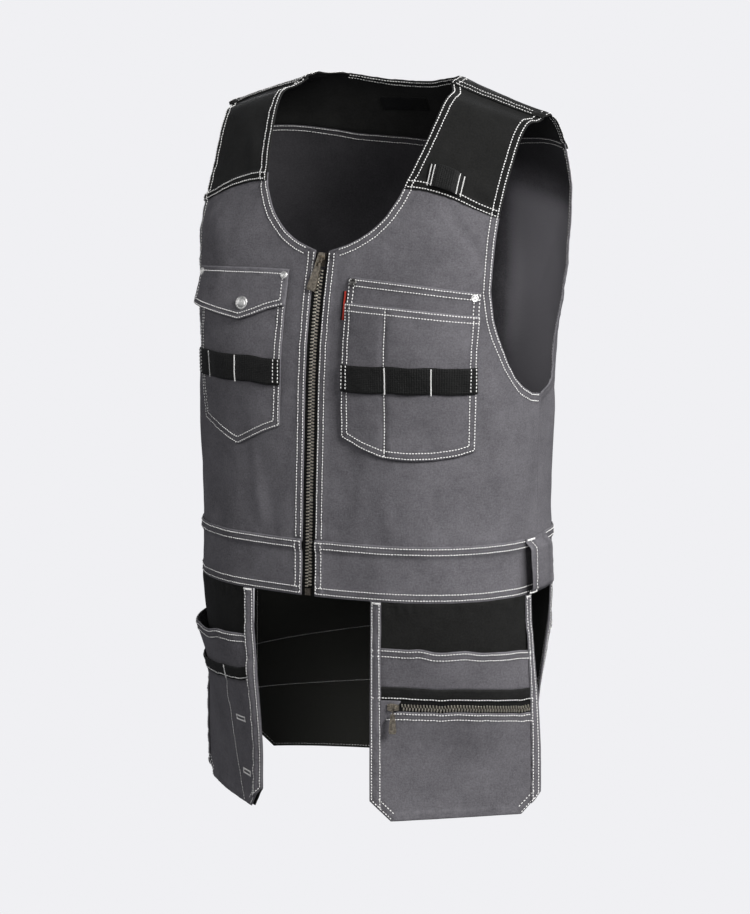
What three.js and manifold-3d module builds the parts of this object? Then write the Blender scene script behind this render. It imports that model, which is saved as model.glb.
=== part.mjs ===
// Utility work vest, worn form held up at the shoulders.
// Millimetres, +Z up, the front faces -Y and the wearer's left side is +X.
// The origin is level with the two neck points of the shoulders, at the middle of the body's depth.
// Cloth pieces are laid out in pattern coordinates: s is the distance round the body from the centre
// line and down is the distance over the cloth from the shoulder ridge (negative down runs down the back).
import * as THREE from 'three';
import { mergeVertices } from 'three/addons/utils/BufferGeometryUtils.js';
import Module from 'manifold-3d';

const wasm = await Module();
wasm.setup();

// Body form.
const BODY_LENGTH = 652;
const HALF_WIDTH = 218;
const FRONT_DEPTH = 159;
const BACK_DEPTH = 132;
const RIDGE_SET_BACK = 20;
const FRONT_EXTRA = 8;
const SHOULDER_HALF = 221;
const SHOULDER_SLOPE = 0.32;
const NECK_HALF = 98;
const SLOPE_START = 70;
const SLOPE_EASE = 25;

// Cloth layers.
const CLOTH = 1.5;
const LAYER_GAP = 0.8;
const SEAM_GAP = 0.3;
const LAYER_STEP = CLOTH + LAYER_GAP;

// Openings and seams of the body, as distances over the cloth.
const NECK_DEPTH_FRONT = 252;
const NECK_DEPTH_BACK = 60;
const SHOULDER_SEAM = 20;
const YOKE_FRONT = 165;
const YOKE_BACK = 147;
const SEAM_BLEND = 80;
const ARMHOLE_DEPTH = 428;
const BAND_HEIGHT = 63;
const FRONT_EDGE = 9;

// Zip.
const CHAIN_WIDTH = 7.4;
const CHAIN_THICK = 3.2;
const TAPE_WIDTH = 17;
const TAPE_THICK = 0.9;
const SLIDER_LENGTH = 16;
const SLIDER_WIDTH = 11;
const SLIDER_THICK = 4.6;
const STOP_LENGTH = 8;
const PULL_LENGTH = 38;
const PULL_WIDTH = 12.5;
const PULL_THICK = 1.6;
const PULL_LEAN = 11;
const CROWN_HEIGHT = 5.8;
const CROWN_BAR = 1.5;
const CROWN_WIDTH = 2.2;
const SMALL_ZIP = 0.86;

// Chest pockets.
const POCKET_TOP = 280;
const POCKET_LENGTH = 204;
const POCKET_INNER = 42;
const LEFT_POCKET_WIDTH = 158;
const RIGHT_POCKET_WIDTH = 138;
const FRONT_LAYER_DROP = 29;
const FLAP_LENGTH = 61;
const FLAP_LIFT = 7;
const WEBBING_HEIGHT = 30;
const WEBBING_DROP = 98;
const SNAP_SIZE = 16;
const SNAP_SHARE = 0.41;
const RIVET_SIZE = 9.5;
const TAB_LENGTH = 32;
const TAB_REACH = 6;
const POCKET_PUFF = 7.5;

// Loops and label.
const SHOULDER_LOOP_WIDTH = 43;
const SHOULDER_LOOP_HEIGHT = 25;
const LOOP_STAND = 7.5;
const SIDE_LOOP_WIDTH = 40;
const SIDE_LOOP_STAND = 8;
const SIDE_LOOP_FORWARD = 8;
const LABEL_WIDTH = 62;
const LABEL_HEIGHT = 18;
const LABEL_SHIFT = 21;
const LABEL_DROP = 27;

// Holster pockets below the waistband.
const HOLSTER_WIDTH = 206;
const HOLSTER_LENGTH = 259;
const HOLSTER_FRONT_INNER = 82;
const HOLSTER_REAR_INNER = 28;
const HOLSTER_CHAMFER = 24;
const BINDING_WIDTH = 12;
const MOUTH_DROP = 55;
const MOUTH_GAPE = 19;
const MOUTH_ARCH = 7;
const MOUTH_SLANT = 12;
const SECOND_MOUTH_DROP = 100;
const SECOND_GAPE = 9;
const TRIM_HEIGHT = 15;
const HOLSTER_TAPE = 17;

// Form sections: shares of BODY_LENGTH, FRONT_DEPTH, BACK_DEPTH and HALF_WIDTH, how square the
// front and back halves are, share of RIDGE_SET_BACK and share of the shoulder slope.
const FORM_COLUMNS = ['down', 'front', 'back', 'half', 'frontSquare', 'backSquare', 'shift', 'slope'];
const FORM_ROWS = [
  [0.000, 0.000, 0.000, 1.045, 0.20, 0.20, 1.0, 1.00],
  [0.022, 0.087, 0.104, 1.048, 0.20, 0.20, 1.0, 1.00],
  [0.046, 0.178, 0.222, 1.052, 0.21, 0.21, 1.0, 0.99],
  [0.092, 0.360, 0.422, 1.060, 0.22, 0.22, 0.95, 0.95],
  [0.176, 0.550, 0.690, 1.092, 0.25, 0.25, 0.8, 0.85],
  [0.261, 0.695, 0.856, 1.101, 0.29, 0.30, 0.6, 0.70],
  [0.330, 0.775, 0.940, 1.090, 0.33, 0.32, 0.42, 0.48],
  [0.383, 0.820, 0.985, 1.069, 0.34, 0.31, 0.3, 0.30],
  [0.529, 0.906, 1.020, 1.018, 0.34, 0.27, 0.0, 0.00],
  [0.736, 0.962, 1.010, 0.991, 0.26, 0.22, 0.0, 0.00],
  [0.905, 0.987, 1.000, 0.991, 0.22, 0.20, 0.0, 0.00],
  [1.000, 1.000, 1.000, 1.000, 0.20, 0.20, 0.0, 0.00],
];

// Neckline of the front: shares of NECK_DEPTH_FRONT and NECK_HALF, from the shoulder to the zip.
const NECK_FRONT = [
  [0.08, 1.00], [0.16, 1.11], [0.29, 1.13], [0.40, 1.10], [0.52, 1.05], [0.63, 0.98],
  [0.75, 0.88], [0.86, 0.71], [0.93, 0.51], [0.972, 0.31], [1.00, FRONT_EDGE / NECK_HALF],
];

// Armhole edges: share of ARMHOLE_DEPTH, share of SHOULDER_HALF, share of the way from there to
// the side seam.
const ARM_FRONT = [
  [0.000, 0.995, 0.00], [0.045, 0.975, 0.00], [0.115, 0.955, 0.00], [0.215, 0.940, 0.00],
  [0.320, 0.935, 0.00], [0.407, 0.935, 0.00], [0.515, 0.942, 0.00], [0.665, 0.955, 0.00],
  [0.752, 0.962, 0.05], [0.820, 0.970, 0.14], [0.888, 0.975, 0.30], [0.950, 0.980, 0.60],
  [1.000, 0.985, 1.00],
];
const ARM_BACK = [
  [0.000, 0.995, 0.00], [0.047, 1.015, 0.00], [0.117, 1.045, 0.00], [0.187, 1.077, 0.00],
  [0.262, 1.104, 0.00], [0.350, 1.118, 0.00], [0.467, 1.122, 0.00], [0.673, 1.110, 0.00],
  [0.806, 1.108, 0.05], [0.888, 1.112, 0.24], [0.950, 1.116, 0.60], [1.000, 1.120, 1.00],
];

// Yoke seams: share of SHOULDER_HALF across, share of the seam depth.
const YOKE_FRONT_LINE = [
  [0.0, 1.04], [0.38, 1.00], [0.54, 0.975], [0.68, 0.985], [0.82, 1.03], [0.93, 1.065],
];
const YOKE_BACK_LINE = [[0.0, 1.00], [0.41, 0.925], [0.68, 0.755], [0.86, 0.645], [1.10, 0.56]];

// Broad folds pressed into the cloth: side (1 front, -1 back), share of HALF_WIDTH across, share of
// BODY_LENGTH down, lean from vertical in degrees, half length, half width, height.
const FOLD_COLUMNS = ['face', 'across', 'down', 'lean', 'long', 'wide', 'high'];
const FOLDS = [
  [1, 1.12, 0.70, 24, 95, 26, 4.5],
  [1, 1.02, 0.80, -8, 80, 24, -3.0],
  [1, 0.55, 0.80, 6, 90, 30, 2.5],
  [1, -1.00, 0.74, -18, 95, 26, 3.5],
  [1, -0.70, 0.82, 5, 80, 26, -2.5],
  [1, 0.70, 0.36, -32, 60, 26, 3.0],
  [1, -0.72, 0.36, 30, 60, 26, 3.0],
  [-1, 0.95, 0.55, -20, 120, 32, 4.0],
  [-1, -0.95, 0.55, 20, 120, 32, 4.0],
  [-1, 0.35, 0.72, -6, 130, 34, -3.5],
  [-1, -0.35, 0.76, 8, 120, 34, 3.0],
  [-1, 0.00, 0.45, 0, 110, 40, 2.5],
];

// Chest pocket edges: share of the width, share of POCKET_LENGTH at the top and at the bottom.
const LEFT_POCKET = [
  [0.00, 0.000, 0.895], [0.17, 0.006, 0.955], [0.34, 0.010, 1.000], [0.52, 0.015, 1.008],
  [0.70, 0.022, 1.004], [0.87, 0.030, 0.985], [1.00, 0.036, 0.955],
];
const RIGHT_POCKET = [
  [0.00, 0.000, 0.865], [0.16, 0.000, 0.905], [0.32, 0.000, 0.955], [0.47, 0.000, 1.000],
  [0.64, 0.000, 0.962], [0.82, 0.000, 0.925], [1.00, 0.000, 0.885],
];
// Flap: share of the width, drop of its bottom edge as a share of FLAP_LENGTH, share of FLAP_LIFT.
const FLAP = [
  [0.00, 0.66, 0.20], [0.16, 0.76, 0.25], [0.30, 0.90, 0.30], [0.43, 1.00, 0.35],
  [0.64, 0.93, 0.55], [0.82, 0.86, 0.85], [1.00, 0.78, 1.20],
];

const COLORS = {
  grey: { color: 0x57565c, roughness: 0.92, metalness: 0 },
  black: { color: 0x1c1c1d, roughness: 0.93, metalness: 0 },
  webbing: { color: 0x151515, roughness: 0.85, metalness: 0 },
  tape: { color: 0x1a1a1a, roughness: 0.8, metalness: 0 },
  label: { color: 0x101011, roughness: 0.6, metalness: 0 },
  tab: { color: 0x3a1718, roughness: 0.8, metalness: 0 },
  brass: { color: 0x6f6350, roughness: 0.42, metalness: 1 },
  nickel: { color: 0xb9b8b4, roughness: 0.3, metalness: 1 },
};

const clamp = (value, low, high) => Math.min(high, Math.max(low, value));
const mix = (from, to, share) => from + (to - from) * share;

function ease(low, high, value) {
  const share = clamp((value - low) / (high - low), 0, 1);
  return share * share * (3 - 2 * share);
}

// Smooth reading of one column of a table whose first column rises.
function smoothRead(rows, column, at) {
  const last = rows.length - 1;
  const value = clamp(at, rows[0][0], rows[last][0]);
  let k = 0;
  while (k < last - 1 && value > rows[k + 1][0]) k += 1;
  const slope = (i) => (rows[i + 1][column] - rows[i][column]) / (rows[i + 1][0] - rows[i][0]);
  const tangent = (i) => {
    if (i === 0) return slope(0);
    if (i === last) return slope(last - 1);
    const before = rows[i][0] - rows[i - 1][0];
    const after = rows[i + 1][0] - rows[i][0];
    return (slope(i - 1) * after + slope(i) * before) / (before + after);
  };
  const h = rows[k + 1][0] - rows[k][0];
  const t = (value - rows[k][0]) / h;
  return rows[k][column] * (1 + 2 * t) * (1 - t) ** 2
    + h * tangent(k) * t * (1 - t) ** 2
    + rows[k + 1][column] * t * t * (3 - 2 * t)
    - h * tangent(k + 1) * t * t * (1 - t);
}

// Straight reading of one column of a table.
function read(rows, column, at) {
  const last = rows.length - 1;
  const value = clamp(at, rows[0][0], rows[last][0]);
  let k = 0;
  while (k < last - 1 && value > rows[k + 1][0]) k += 1;
  const t = (value - rows[k][0]) / (rows[k + 1][0] - rows[k][0]);
  return mix(rows[k][column], rows[k + 1][column], t);
}

const col = Object.fromEntries(FORM_COLUMNS.map((name, i) => [name, i]));

// Height lost by the surface, from its depth, in small steps down from the ridge.
const DROP_STEP = BODY_LENGTH / 320;
function dropTable(column, size) {
  const drops = [0];
  for (let k = 1; k <= 320; k += 1) {
    const before = smoothRead(FORM_ROWS, column, (k - 1) / 320) * size;
    const after = smoothRead(FORM_ROWS, column, k / 320) * size;
    const run = Math.abs(after - before);
    const fall = Math.sqrt(Math.max(DROP_STEP * DROP_STEP - run * run, (0.1 * DROP_STEP) ** 2));
    drops.push(drops[k - 1] + fall);
  }
  return drops;
}
const FRONT_DROPS = dropTable(col.front, FRONT_DEPTH);
const BACK_DROPS = dropTable(col.back, BACK_DEPTH);

function dropAt(drops, down) {
  const at = clamp(down / DROP_STEP, 0, 320);
  const k = Math.min(319, Math.floor(at));
  return mix(drops[k], drops[k + 1], at - k) + Math.max(0, down - BODY_LENGTH);
}

function ridgeDrop(x) {
  const bend = (at) => 0.5 * (at - SLOPE_START + Math.hypot(at - SLOPE_START, SLOPE_EASE));
  return SHOULDER_SLOPE * (bend(Math.abs(x)) - bend(0.84 * NECK_HALF));
}

const RING_STEPS = 120;
const rings = new Map();
function ring(down) {
  const key = Math.round(down * 50);
  if (rings.has(key)) return rings.get(key);
  const at = down / BODY_LENGTH;
  const take = (name) => smoothRead(FORM_ROWS, col[name], at);
  const made = {
    half: take('half') * HALF_WIDTH,
    front: take('front') * FRONT_DEPTH,
    back: take('back') * BACK_DEPTH,
    frontSquare: take('frontSquare'),
    backSquare: take('backSquare'),
    shift: take('shift') * RIDGE_SET_BACK,
    slope: take('slope'),
    frontDrop: dropAt(FRONT_DROPS, down) + FRONT_EXTRA * ease(0.04, 0.34, at),
    backDrop: dropAt(BACK_DROPS, down),
    arc: [0],
  };
  let last = onRing(made, 0);
  for (let k = 1; k <= RING_STEPS; k += 1) {
    const next = onRing(made, (Math.PI * k) / RING_STEPS);
    made.arc.push(made.arc[k - 1] + Math.hypot(next.x - last.x, next.y - last.y));
    last = next;
  }
  rings.set(key, made);
  return made;
}

function onRing(r, angle) {
  const c = Math.cos(angle);
  const s = Math.sin(angle);
  const x = r.half * s;
  const depth = c >= 0 ? -r.front * (1 + r.frontSquare * s * s) : -r.back * (1 + r.backSquare * s * s);
  const share = ease(-0.25, 0.25, c);
  const z = -mix(r.backDrop, r.frontDrop, share) - r.slope * ridgeDrop(x);
  return new THREE.Vector3(x, depth * c + r.shift, z);
}

function angleAt(r, length) {
  const arc = r.arc;
  let k = 0;
  let high = RING_STEPS;
  while (high - k > 1) {
    const middle = (k + high) >> 1;
    if (arc[middle] <= length) k = middle;
    else high = middle;
  }
  const t = (length - arc[k]) / Math.max(arc[k + 1] - arc[k], 1e-9);
  return (Math.PI * (k + t)) / RING_STEPS;
}

const halfRound = (down) => ring(down).arc[RING_STEPS];
const quarter = (down) => ring(down).arc[RING_STEPS / 2];
const backQuarter = (down) => halfRound(down) - quarter(down);

function bareForm(s, v) {
  const down = Math.abs(v);
  const r = ring(down);
  const length = v < 0 ? r.arc[RING_STEPS] - Math.abs(s) : Math.abs(s);
  const point = onRing(r, angleAt(r, clamp(length, 0, r.arc[RING_STEPS])));
  if (s < 0) point.x = -point.x;
  return point;
}

function normalOf(surface, s, v) {
  const step = 1.5;
  const along = surface(s + step, v).sub(surface(s - step, v));
  const downward = surface(s, v + step).sub(surface(s, v - step));
  return downward.cross(along).normalize();
}

const fold = Object.fromEntries(FOLD_COLUMNS.map((name, i) => [name, i]));
function foldHeight(s, v) {
  const down = Math.abs(v);
  const face = v < 0 ? -1 : 1;
  const fade = ease(0.1, 0.2, down / BODY_LENGTH) * (1 - ease(0.86, 0.93, down / BODY_LENGTH));
  let height = 0;
  for (const row of FOLDS) {
    if (row[fold.face] !== face) continue;
    const lean = THREE.MathUtils.degToRad(row[fold.lean]);
    const ds = s - row[fold.across] * HALF_WIDTH;
    const dd = down - row[fold.down] * BODY_LENGTH;
    const along = dd * Math.cos(lean) + ds * Math.sin(lean);
    const across = ds * Math.cos(lean) - dd * Math.sin(lean);
    height += row[fold.high] * Math.exp(-((along / row[fold.long]) ** 2) - (across / row[fold.wide]) ** 2);
  }
  const side = v < 0 ? backQuarter(down) : quarter(down);
  return height * fade * (1 - ease(side - 45, side - 4, Math.abs(s)));
}

// A point of the body at a height above the inside face of the main cloth.
function body(s, v, height = 0) {
  const normal = normalOf(bareForm, s, v);
  return bareForm(s, v).addScaledVector(normal, height + foldHeight(s, v));
}

const solids = [];

// Turns a closed indexed geometry outward and adds it as a named piece.
function piece(name, look, positions, faces) {
  let volume = 0;
  const p = (i) => new THREE.Vector3(positions[3 * i], positions[3 * i + 1], positions[3 * i + 2]);
  for (const [a, b, c] of faces) volume += p(a).dot(p(b).cross(p(c)));
  const geometry = new THREE.BufferGeometry();
  geometry.setAttribute('position', new THREE.Float32BufferAttribute(positions, 3));
  geometry.setIndex(faces.flatMap(([a, b, c]) => (volume < 0 ? [a, c, b] : [a, b, c])));
  add(name, look, geometry);
}

function add(name, look, geometry) {
  const mesh = new THREE.Mesh(geometry, new THREE.MeshStandardMaterial({ ...COLORS[look] }));
  mesh.name = name;
  mesh.geometry.computeVertexNormals();
  solids.push(mesh);
}

// A cloth sheet: rows and columns of cells between two faces. at(i, j, face) gives the point of
// cell corner (i along the rows, j across) with face 0 inside and 1 outside.
function sheet(name, look, rows, columns, at) {
  const positions = [];
  const faces = [];
  const index = (i, j, face) => (face * (rows + 1) + i) * (columns + 1) + j;
  for (let face = 0; face < 2; face += 1) {
    for (let i = 0; i <= rows; i += 1) {
      for (let j = 0; j <= columns; j += 1) positions.push(...at(i, j, face).toArray());
    }
  }
  const span = (k, l) => Math.hypot(...[0, 1, 2].map((n) => positions[3 * k + n] - positions[3 * l + n]));
  for (let i = 0; i < rows; i += 1) {
    for (let j = 0; j < columns; j += 1) {
      const outer = [index(i, j, 1), index(i, j + 1, 1), index(i + 1, j + 1, 1), index(i + 1, j, 1)];
      const inner = outer.map((k) => k - (rows + 1) * (columns + 1));
      const turn = span(outer[0], outer[2]) < span(outer[1], outer[3]) + 1e-4 ? 0 : 1;
      const [a, b, c, d] = [0, 1, 2, 3].map((k) => outer[(k + turn) % 4]);
      faces.push([a, c, b], [a, d, c]);
      const [e, f, g, h] = [0, 1, 2, 3].map((k) => inner[(k + turn) % 4]);
      faces.push([e, f, g], [e, g, h]);
    }
  }
  const wall = (i, j, k, l) => {
    const a = index(i, j, 0);
    const b = index(k, l, 0);
    const c = index(k, l, 1);
    const d = index(i, j, 1);
    faces.push([a, c, b], [a, d, c]);
  };
  for (let j = 0; j < columns; j += 1) {
    wall(0, j, 0, j + 1);
    wall(rows, j + 1, rows, j);
  }
  for (let i = 0; i < rows; i += 1) {
    wall(i + 1, 0, i, 0);
    wall(i, columns, i + 1, columns);
  }
  piece(name, look, positions, faces);
}

const neckFront = (v) => NECK_HALF * read(NECK_FRONT, 1, v / NECK_DEPTH_FRONT);
function armEdge(table, side, v) {
  const start = SHOULDER_HALF * read(table, 1, v / ARMHOLE_DEPTH);
  return mix(start, side(v), read(table, 2, v / ARMHOLE_DEPTH));
}
const armFront = (v) => Math.min(armEdge(ARM_FRONT, quarter, v), quarter(v)) - SEAM_GAP / 2;
const armBack = (v) => Math.min(armEdge(ARM_BACK, backQuarter, v), backQuarter(v)) - SEAM_GAP / 2;
const yokeFrontLine = (s) => YOKE_FRONT * read(YOKE_FRONT_LINE, 1, Math.abs(s) / SHOULDER_HALF);
const yokeBackLine = (s) => YOKE_BACK * read(YOKE_BACK_LINE, 1, Math.abs(s) / SHOULDER_HALF);
const bandTop = BODY_LENGTH - BAND_HEIGHT;

// Front panels, from the yoke seam to the waistband. Panel and yoke share their columns.
const YOKE_COLUMNS = 10;
const FRONT_LEVELS = [
  0, 0.06, 0.115, 0.165, 0.19, 0.205, 0.27, 0.35, 0.42, 0.485, 0.54, 0.59, 0.64, 0.76, 0.88, 1,
];
function frontPanel(side, label) {
  const columns = YOKE_COLUMNS;
  const rows = FRONT_LEVELS.length - 1;
  const top = YOKE_FRONT + SEAM_GAP;
  const bottom = bandTop - SEAM_GAP / 2;
  const level = (i) => {
    const v = mix(top, bottom, FRONT_LEVELS[i]);
    if (i === 5) return Math.max(v, NECK_DEPTH_FRONT);
    if (i === 12) return Math.max(v, ARMHOLE_DEPTH);
    return v;
  };
  sheet(`front_panel_${label}`, 'grey', rows, columns, (i, j, face) => {
    const v = level(i);
    const inner = Math.max(neckFront(v), FRONT_EDGE);
    const s = mix(inner, armFront(v), j / columns);
    const blend = clamp(1 - (v - top) / SEAM_BLEND, 0, 1);
    const down = v + (yokeFrontLine(s) - YOKE_FRONT) * blend;
    return body(side * s, down, face * CLOTH);
  });
}

// Front yokes, from the shoulder seam to the yoke seam.
function frontYoke(side, label) {
  const rows = 6;
  const columns = YOKE_COLUMNS;
  sheet(`front_yoke_${label}`, 'black', rows, columns, (i, j, face) => {
    const v = mix(SHOULDER_SEAM + SEAM_GAP / 2, YOKE_FRONT, i / rows);
    const s = mix(neckFront(v), armFront(v), j / columns);
    const blend = clamp(1 - (YOKE_FRONT - v) / SEAM_BLEND, 0, 1);
    const down = v + (yokeFrontLine(s) - YOKE_FRONT) * blend;
    return body(side * s, down, face * CLOTH);
  });
}

// Back yoke: stations round the neck from one shoulder seam to the other. The turn is 0 at the
// shoulder seam, 1 where the armhole meets the back seam and 2 at the centre. Columns: turn, neck
// edge as shares of NECK_HALF and NECK_DEPTH_BACK, share of the armhole part of the outer edge.
const YOKE_STATIONS = [
  [0.00, 1.00, 0.00, 0.00], [0.30, 0.975, -0.02, -0.12], [0.55, 0.90, -0.26, -0.36],
  [0.78, 0.83, -0.44, -0.68], [1.00, 0.76, -0.58, -1.00], [1.25, 0.65, -0.72, -1.00],
  [1.50, 0.48, -0.85, -1.00], [1.75, 0.25, -0.96, -1.00], [2.00, 0.00, -1.00, -1.00],
];
const YOKE_SEAM_CELLS = 8;
const BACK_CORNER = 1.07 * SHOULDER_HALF;
function backYoke() {
  const turns = YOKE_STATIONS.slice(0, 4).map((row) => row[0]);
  for (let k = 0; k <= YOKE_SEAM_CELLS; k += 1) turns.push(1 + k / YOKE_SEAM_CELLS);
  const half = turns.length - 1;
  const cornerDown = yokeBackLine(BACK_CORNER);
  const station = (k) => {
    const turn = turns[k > half ? 2 * half - k : k];
    const sign = k > half ? -1 : 1;
    const neck = {
      s: read(YOKE_STATIONS, 1, turn) * NECK_HALF,
      v: read(YOKE_STATIONS, 2, turn) * NECK_DEPTH_BACK,
    };
    const edge = { s: 0, v: read(YOKE_STATIONS, 3, turn) * cornerDown };
    edge.s = armBack(-edge.v);
    if (turn === 0) {
      neck.s = neckFront(SHOULDER_SEAM);
      neck.v = SHOULDER_SEAM - SEAM_GAP / 2;
      edge.v = neck.v;
      edge.s = armFront(SHOULDER_SEAM);
    }
    if (turn > 1) {
      edge.s = armBack(cornerDown) * (2 - turn);
      edge.v = -yokeBackLine(edge.s);
    }
    return { neck: { s: sign * neck.s, v: neck.v }, edge: { s: sign * edge.s, v: edge.v } };
  };
  const columns = 5;
  sheet('back_yoke', 'black', 2 * half, columns, (i, j, face) => {
    const { neck, edge } = station(i);
    const s = mix(neck.s, edge.s, j / columns);
    const v = mix(neck.v, edge.v, j / columns);
    return body(s, v, face * CLOTH);
  });
}

// Back panel, from the back yoke seam to the waistband.
const BACK_LEVELS = [0, 0.08, 0.17, 0.26, 0.35, 0.44, 0.52, 0.58, 0.625, 0.68, 0.79, 0.9, 1];
function backPanel() {
  const columns = 2 * YOKE_SEAM_CELLS;
  const rows = BACK_LEVELS.length - 1;
  const top = YOKE_BACK + 2 * SEAM_GAP;
  const bottom = bandTop - SEAM_GAP / 2;
  const fadeLength = 2 * SEAM_BLEND;
  const blendAt = (v) => clamp(1 - (v - top) / fadeLength, 0, 1);
  const level = (i) => {
    const v = mix(top, bottom, BACK_LEVELS[i]);
    return i === 8 ? Math.max(v, ARMHOLE_DEPTH) : v;
  };
  sheet('back_panel', 'grey', rows, columns, (i, j, face) => {
    const v = level(i);
    const edgeDown = v + (yokeBackLine(BACK_CORNER) - YOKE_BACK) * blendAt(v);
    const s = armBack(edgeDown) * ((2 * j) / columns - 1);
    const down = v + (yokeBackLine(s) - YOKE_BACK) * blendAt(v);
    return body(s, -down, face * CLOTH);
  });
}

// Waistbands, between the band seam and the hem.
function waistbands() {
  const top = bandTop + SEAM_GAP / 2;
  for (const [side, label] of [[1, 'left'], [-1, 'right']]) {
    sheet(`waistband_front_${label}`, 'grey', 2, YOKE_COLUMNS, (i, j, face) => {
      const v = mix(top, BODY_LENGTH, i / 2);
      const s = mix(FRONT_EDGE, quarter(v) - SEAM_GAP / 2, j / YOKE_COLUMNS);
      return body(side * s, v, face * CLOTH);
    });
  }
  sheet('waistband_back', 'grey', 2, 2 * YOKE_SEAM_CELLS, (i, j, face) => {
    const v = mix(top, BODY_LENGTH, i / 2);
    const s = (backQuarter(v) - SEAM_GAP / 2) * (j / YOKE_SEAM_CELLS - 1);
    return body(s, -v, face * CLOTH);
  });
}

// Side loops: flat strips standing off the waistband, open at their front and rear edges.
function sideLoops() {
  for (const [side, label] of [[1, 'left'], [-1, 'right']]) {
    const levels = [0, 0.1, 0.24, 0.76, 0.9, 1];
    const stands = [0, 0, 1, 1, 0, 0];
    sheet(`side_loop_${label}`, 'grey', 5, 3, (i, j, face) => {
      const v = mix(bandTop + 2, BODY_LENGTH - 1, levels[i]);
      const s = quarter(v) - SIDE_LOOP_FORWARD - SIDE_LOOP_WIDTH / 2 + (SIDE_LOOP_WIDTH * j) / 3;
      return body(side * s, v, LAYER_STEP + SIDE_LOOP_STAND * stands[i] + face * CLOTH);
    });
  }
}

// Main zip: two tapes behind the front edges, the chain between them and a stop at the hem.
const ZIP_TOP = NECK_DEPTH_FRONT + 2;
const CHAIN_TOP = ZIP_TOP + SLIDER_LENGTH + 1;
const CHAIN_BOTTOM = BODY_LENGTH - STOP_LENGTH - 0.5;
const TAPE_BACK = -LAYER_GAP - TAPE_THICK;
function mainZip() {
  for (const [side, label] of [[1, 'left'], [-1, 'right']]) {
    sheet(`zip_tape_${label}`, 'tape', 14, 1, (i, j, face) => {
      const sliderEnd = ZIP_TOP + SLIDER_LENGTH;
      const level = i < 2 ? mix(ZIP_TOP, sliderEnd + SEAM_GAP, i) : 0;
      const v = i < 2 ? level : mix(sliderEnd + 4, BODY_LENGTH - 0.5, (i - 2) / 12);
      const inner = (i < 2 ? SLIDER_WIDTH : CHAIN_WIDTH) / 2 + SEAM_GAP;
      const s = mix(inner, CHAIN_WIDTH / 2 + TAPE_WIDTH, j);
      return body(side * s, v, TAPE_BACK + face * TAPE_THICK);
    });
  }
  sheet('zip_chain', 'brass', 14, 2, (i, j, face) => {
    const v = mix(CHAIN_TOP, CHAIN_BOTTOM, i / 14);
    const s = CHAIN_WIDTH * (j / 2 - 0.5);
    const crown = face === 1 && j === 1 ? 0.6 : 0;
    return body(s, v, TAPE_BACK - 0.8 + face * CHAIN_THICK + crown);
  });
  sheet('zip_stop', 'brass', 1, 1, (i, j, face) => {
    const v = mix(CHAIN_BOTTOM + SEAM_GAP, BODY_LENGTH - 0.3, i);
    const s = CHAIN_WIDTH * (j - 0.5);
    return body(s, v, TAPE_BACK - 1 + face * (CHAIN_THICK + 1.2));
  });
}

function geometryOf(solid) {
  const mesh = solid.getMesh();
  const geometry = new THREE.BufferGeometry();
  geometry.setAttribute('position', new THREE.Float32BufferAttribute(mesh.vertProperties, 3));
  geometry.setIndex([...mesh.triVerts]);
  return geometry;
}

function manifoldOf(geometry) {
  const bare = geometry.clone();
  bare.deleteAttribute('normal');
  bare.deleteAttribute('uv');
  const merged = mergeVertices(bare, 1e-4);
  return new wasm.Manifold(new wasm.Mesh({
    numProp: 3,
    vertProperties: new Float32Array(merged.attributes.position.array),
    triVerts: new Uint32Array(merged.index.array),
  }));
}

function block(x, y, z, sizeX, sizeY, sizeZ) {
  return manifoldOf(new THREE.BoxGeometry(sizeX, sizeY, sizeZ).translate(x, y, z));
}

// Outline in the x-z plane extruded along y and centred on it.
function plate(outline, y, thick) {
  const shape = new THREE.Shape(outline.map(([x, z]) => new THREE.Vector2(x, z)));
  const geometry = new THREE.ExtrudeGeometry(shape, { depth: thick, bevelEnabled: false });
  geometry.rotateX(Math.PI / 2).translate(0, y + thick / 2, 0);
  return manifoldOf(geometry);
}

function joined(solidList) {
  return solidList.slice(1).reduce((all, next) => all.add(next), solidList[0]);
}

// Slider in its own axes: y points away from the wearer's body with 0 at its back face, and the
// chain leaves at -z.
function sliderSolid() {
  const half = SLIDER_WIDTH / 2;
  const long = SLIDER_LENGTH / 2;
  const outline = [
    [-half, 0.3 * long], [-0.72 * half, long], [0.72 * half, long], [half, 0.3 * long],
    [0.66 * half, -long], [-0.66 * half, -long],
  ];
  const face = SLIDER_THICK;
  const sunk = 0.4;
  const tall = CROWN_HEIGHT + sunk;
  return joined([
    plate(outline, face / 2, face),
    block(0, face + CROWN_HEIGHT - tall / 2, 0.42 * long, CROWN_WIDTH, tall, CROWN_BAR),
    block(0, face + CROWN_HEIGHT - tall / 2, -0.42 * long, CROWN_WIDTH, tall, CROWN_BAR),
    block(0, face + CROWN_HEIGHT - CROWN_BAR / 2, 0, CROWN_WIDTH, CROWN_BAR, 0.84 * long + CROWN_BAR),
  ]);
}

const HINGE_HEIGHT = SLIDER_THICK + (CROWN_HEIGHT - CROWN_BAR) / 2;

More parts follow.
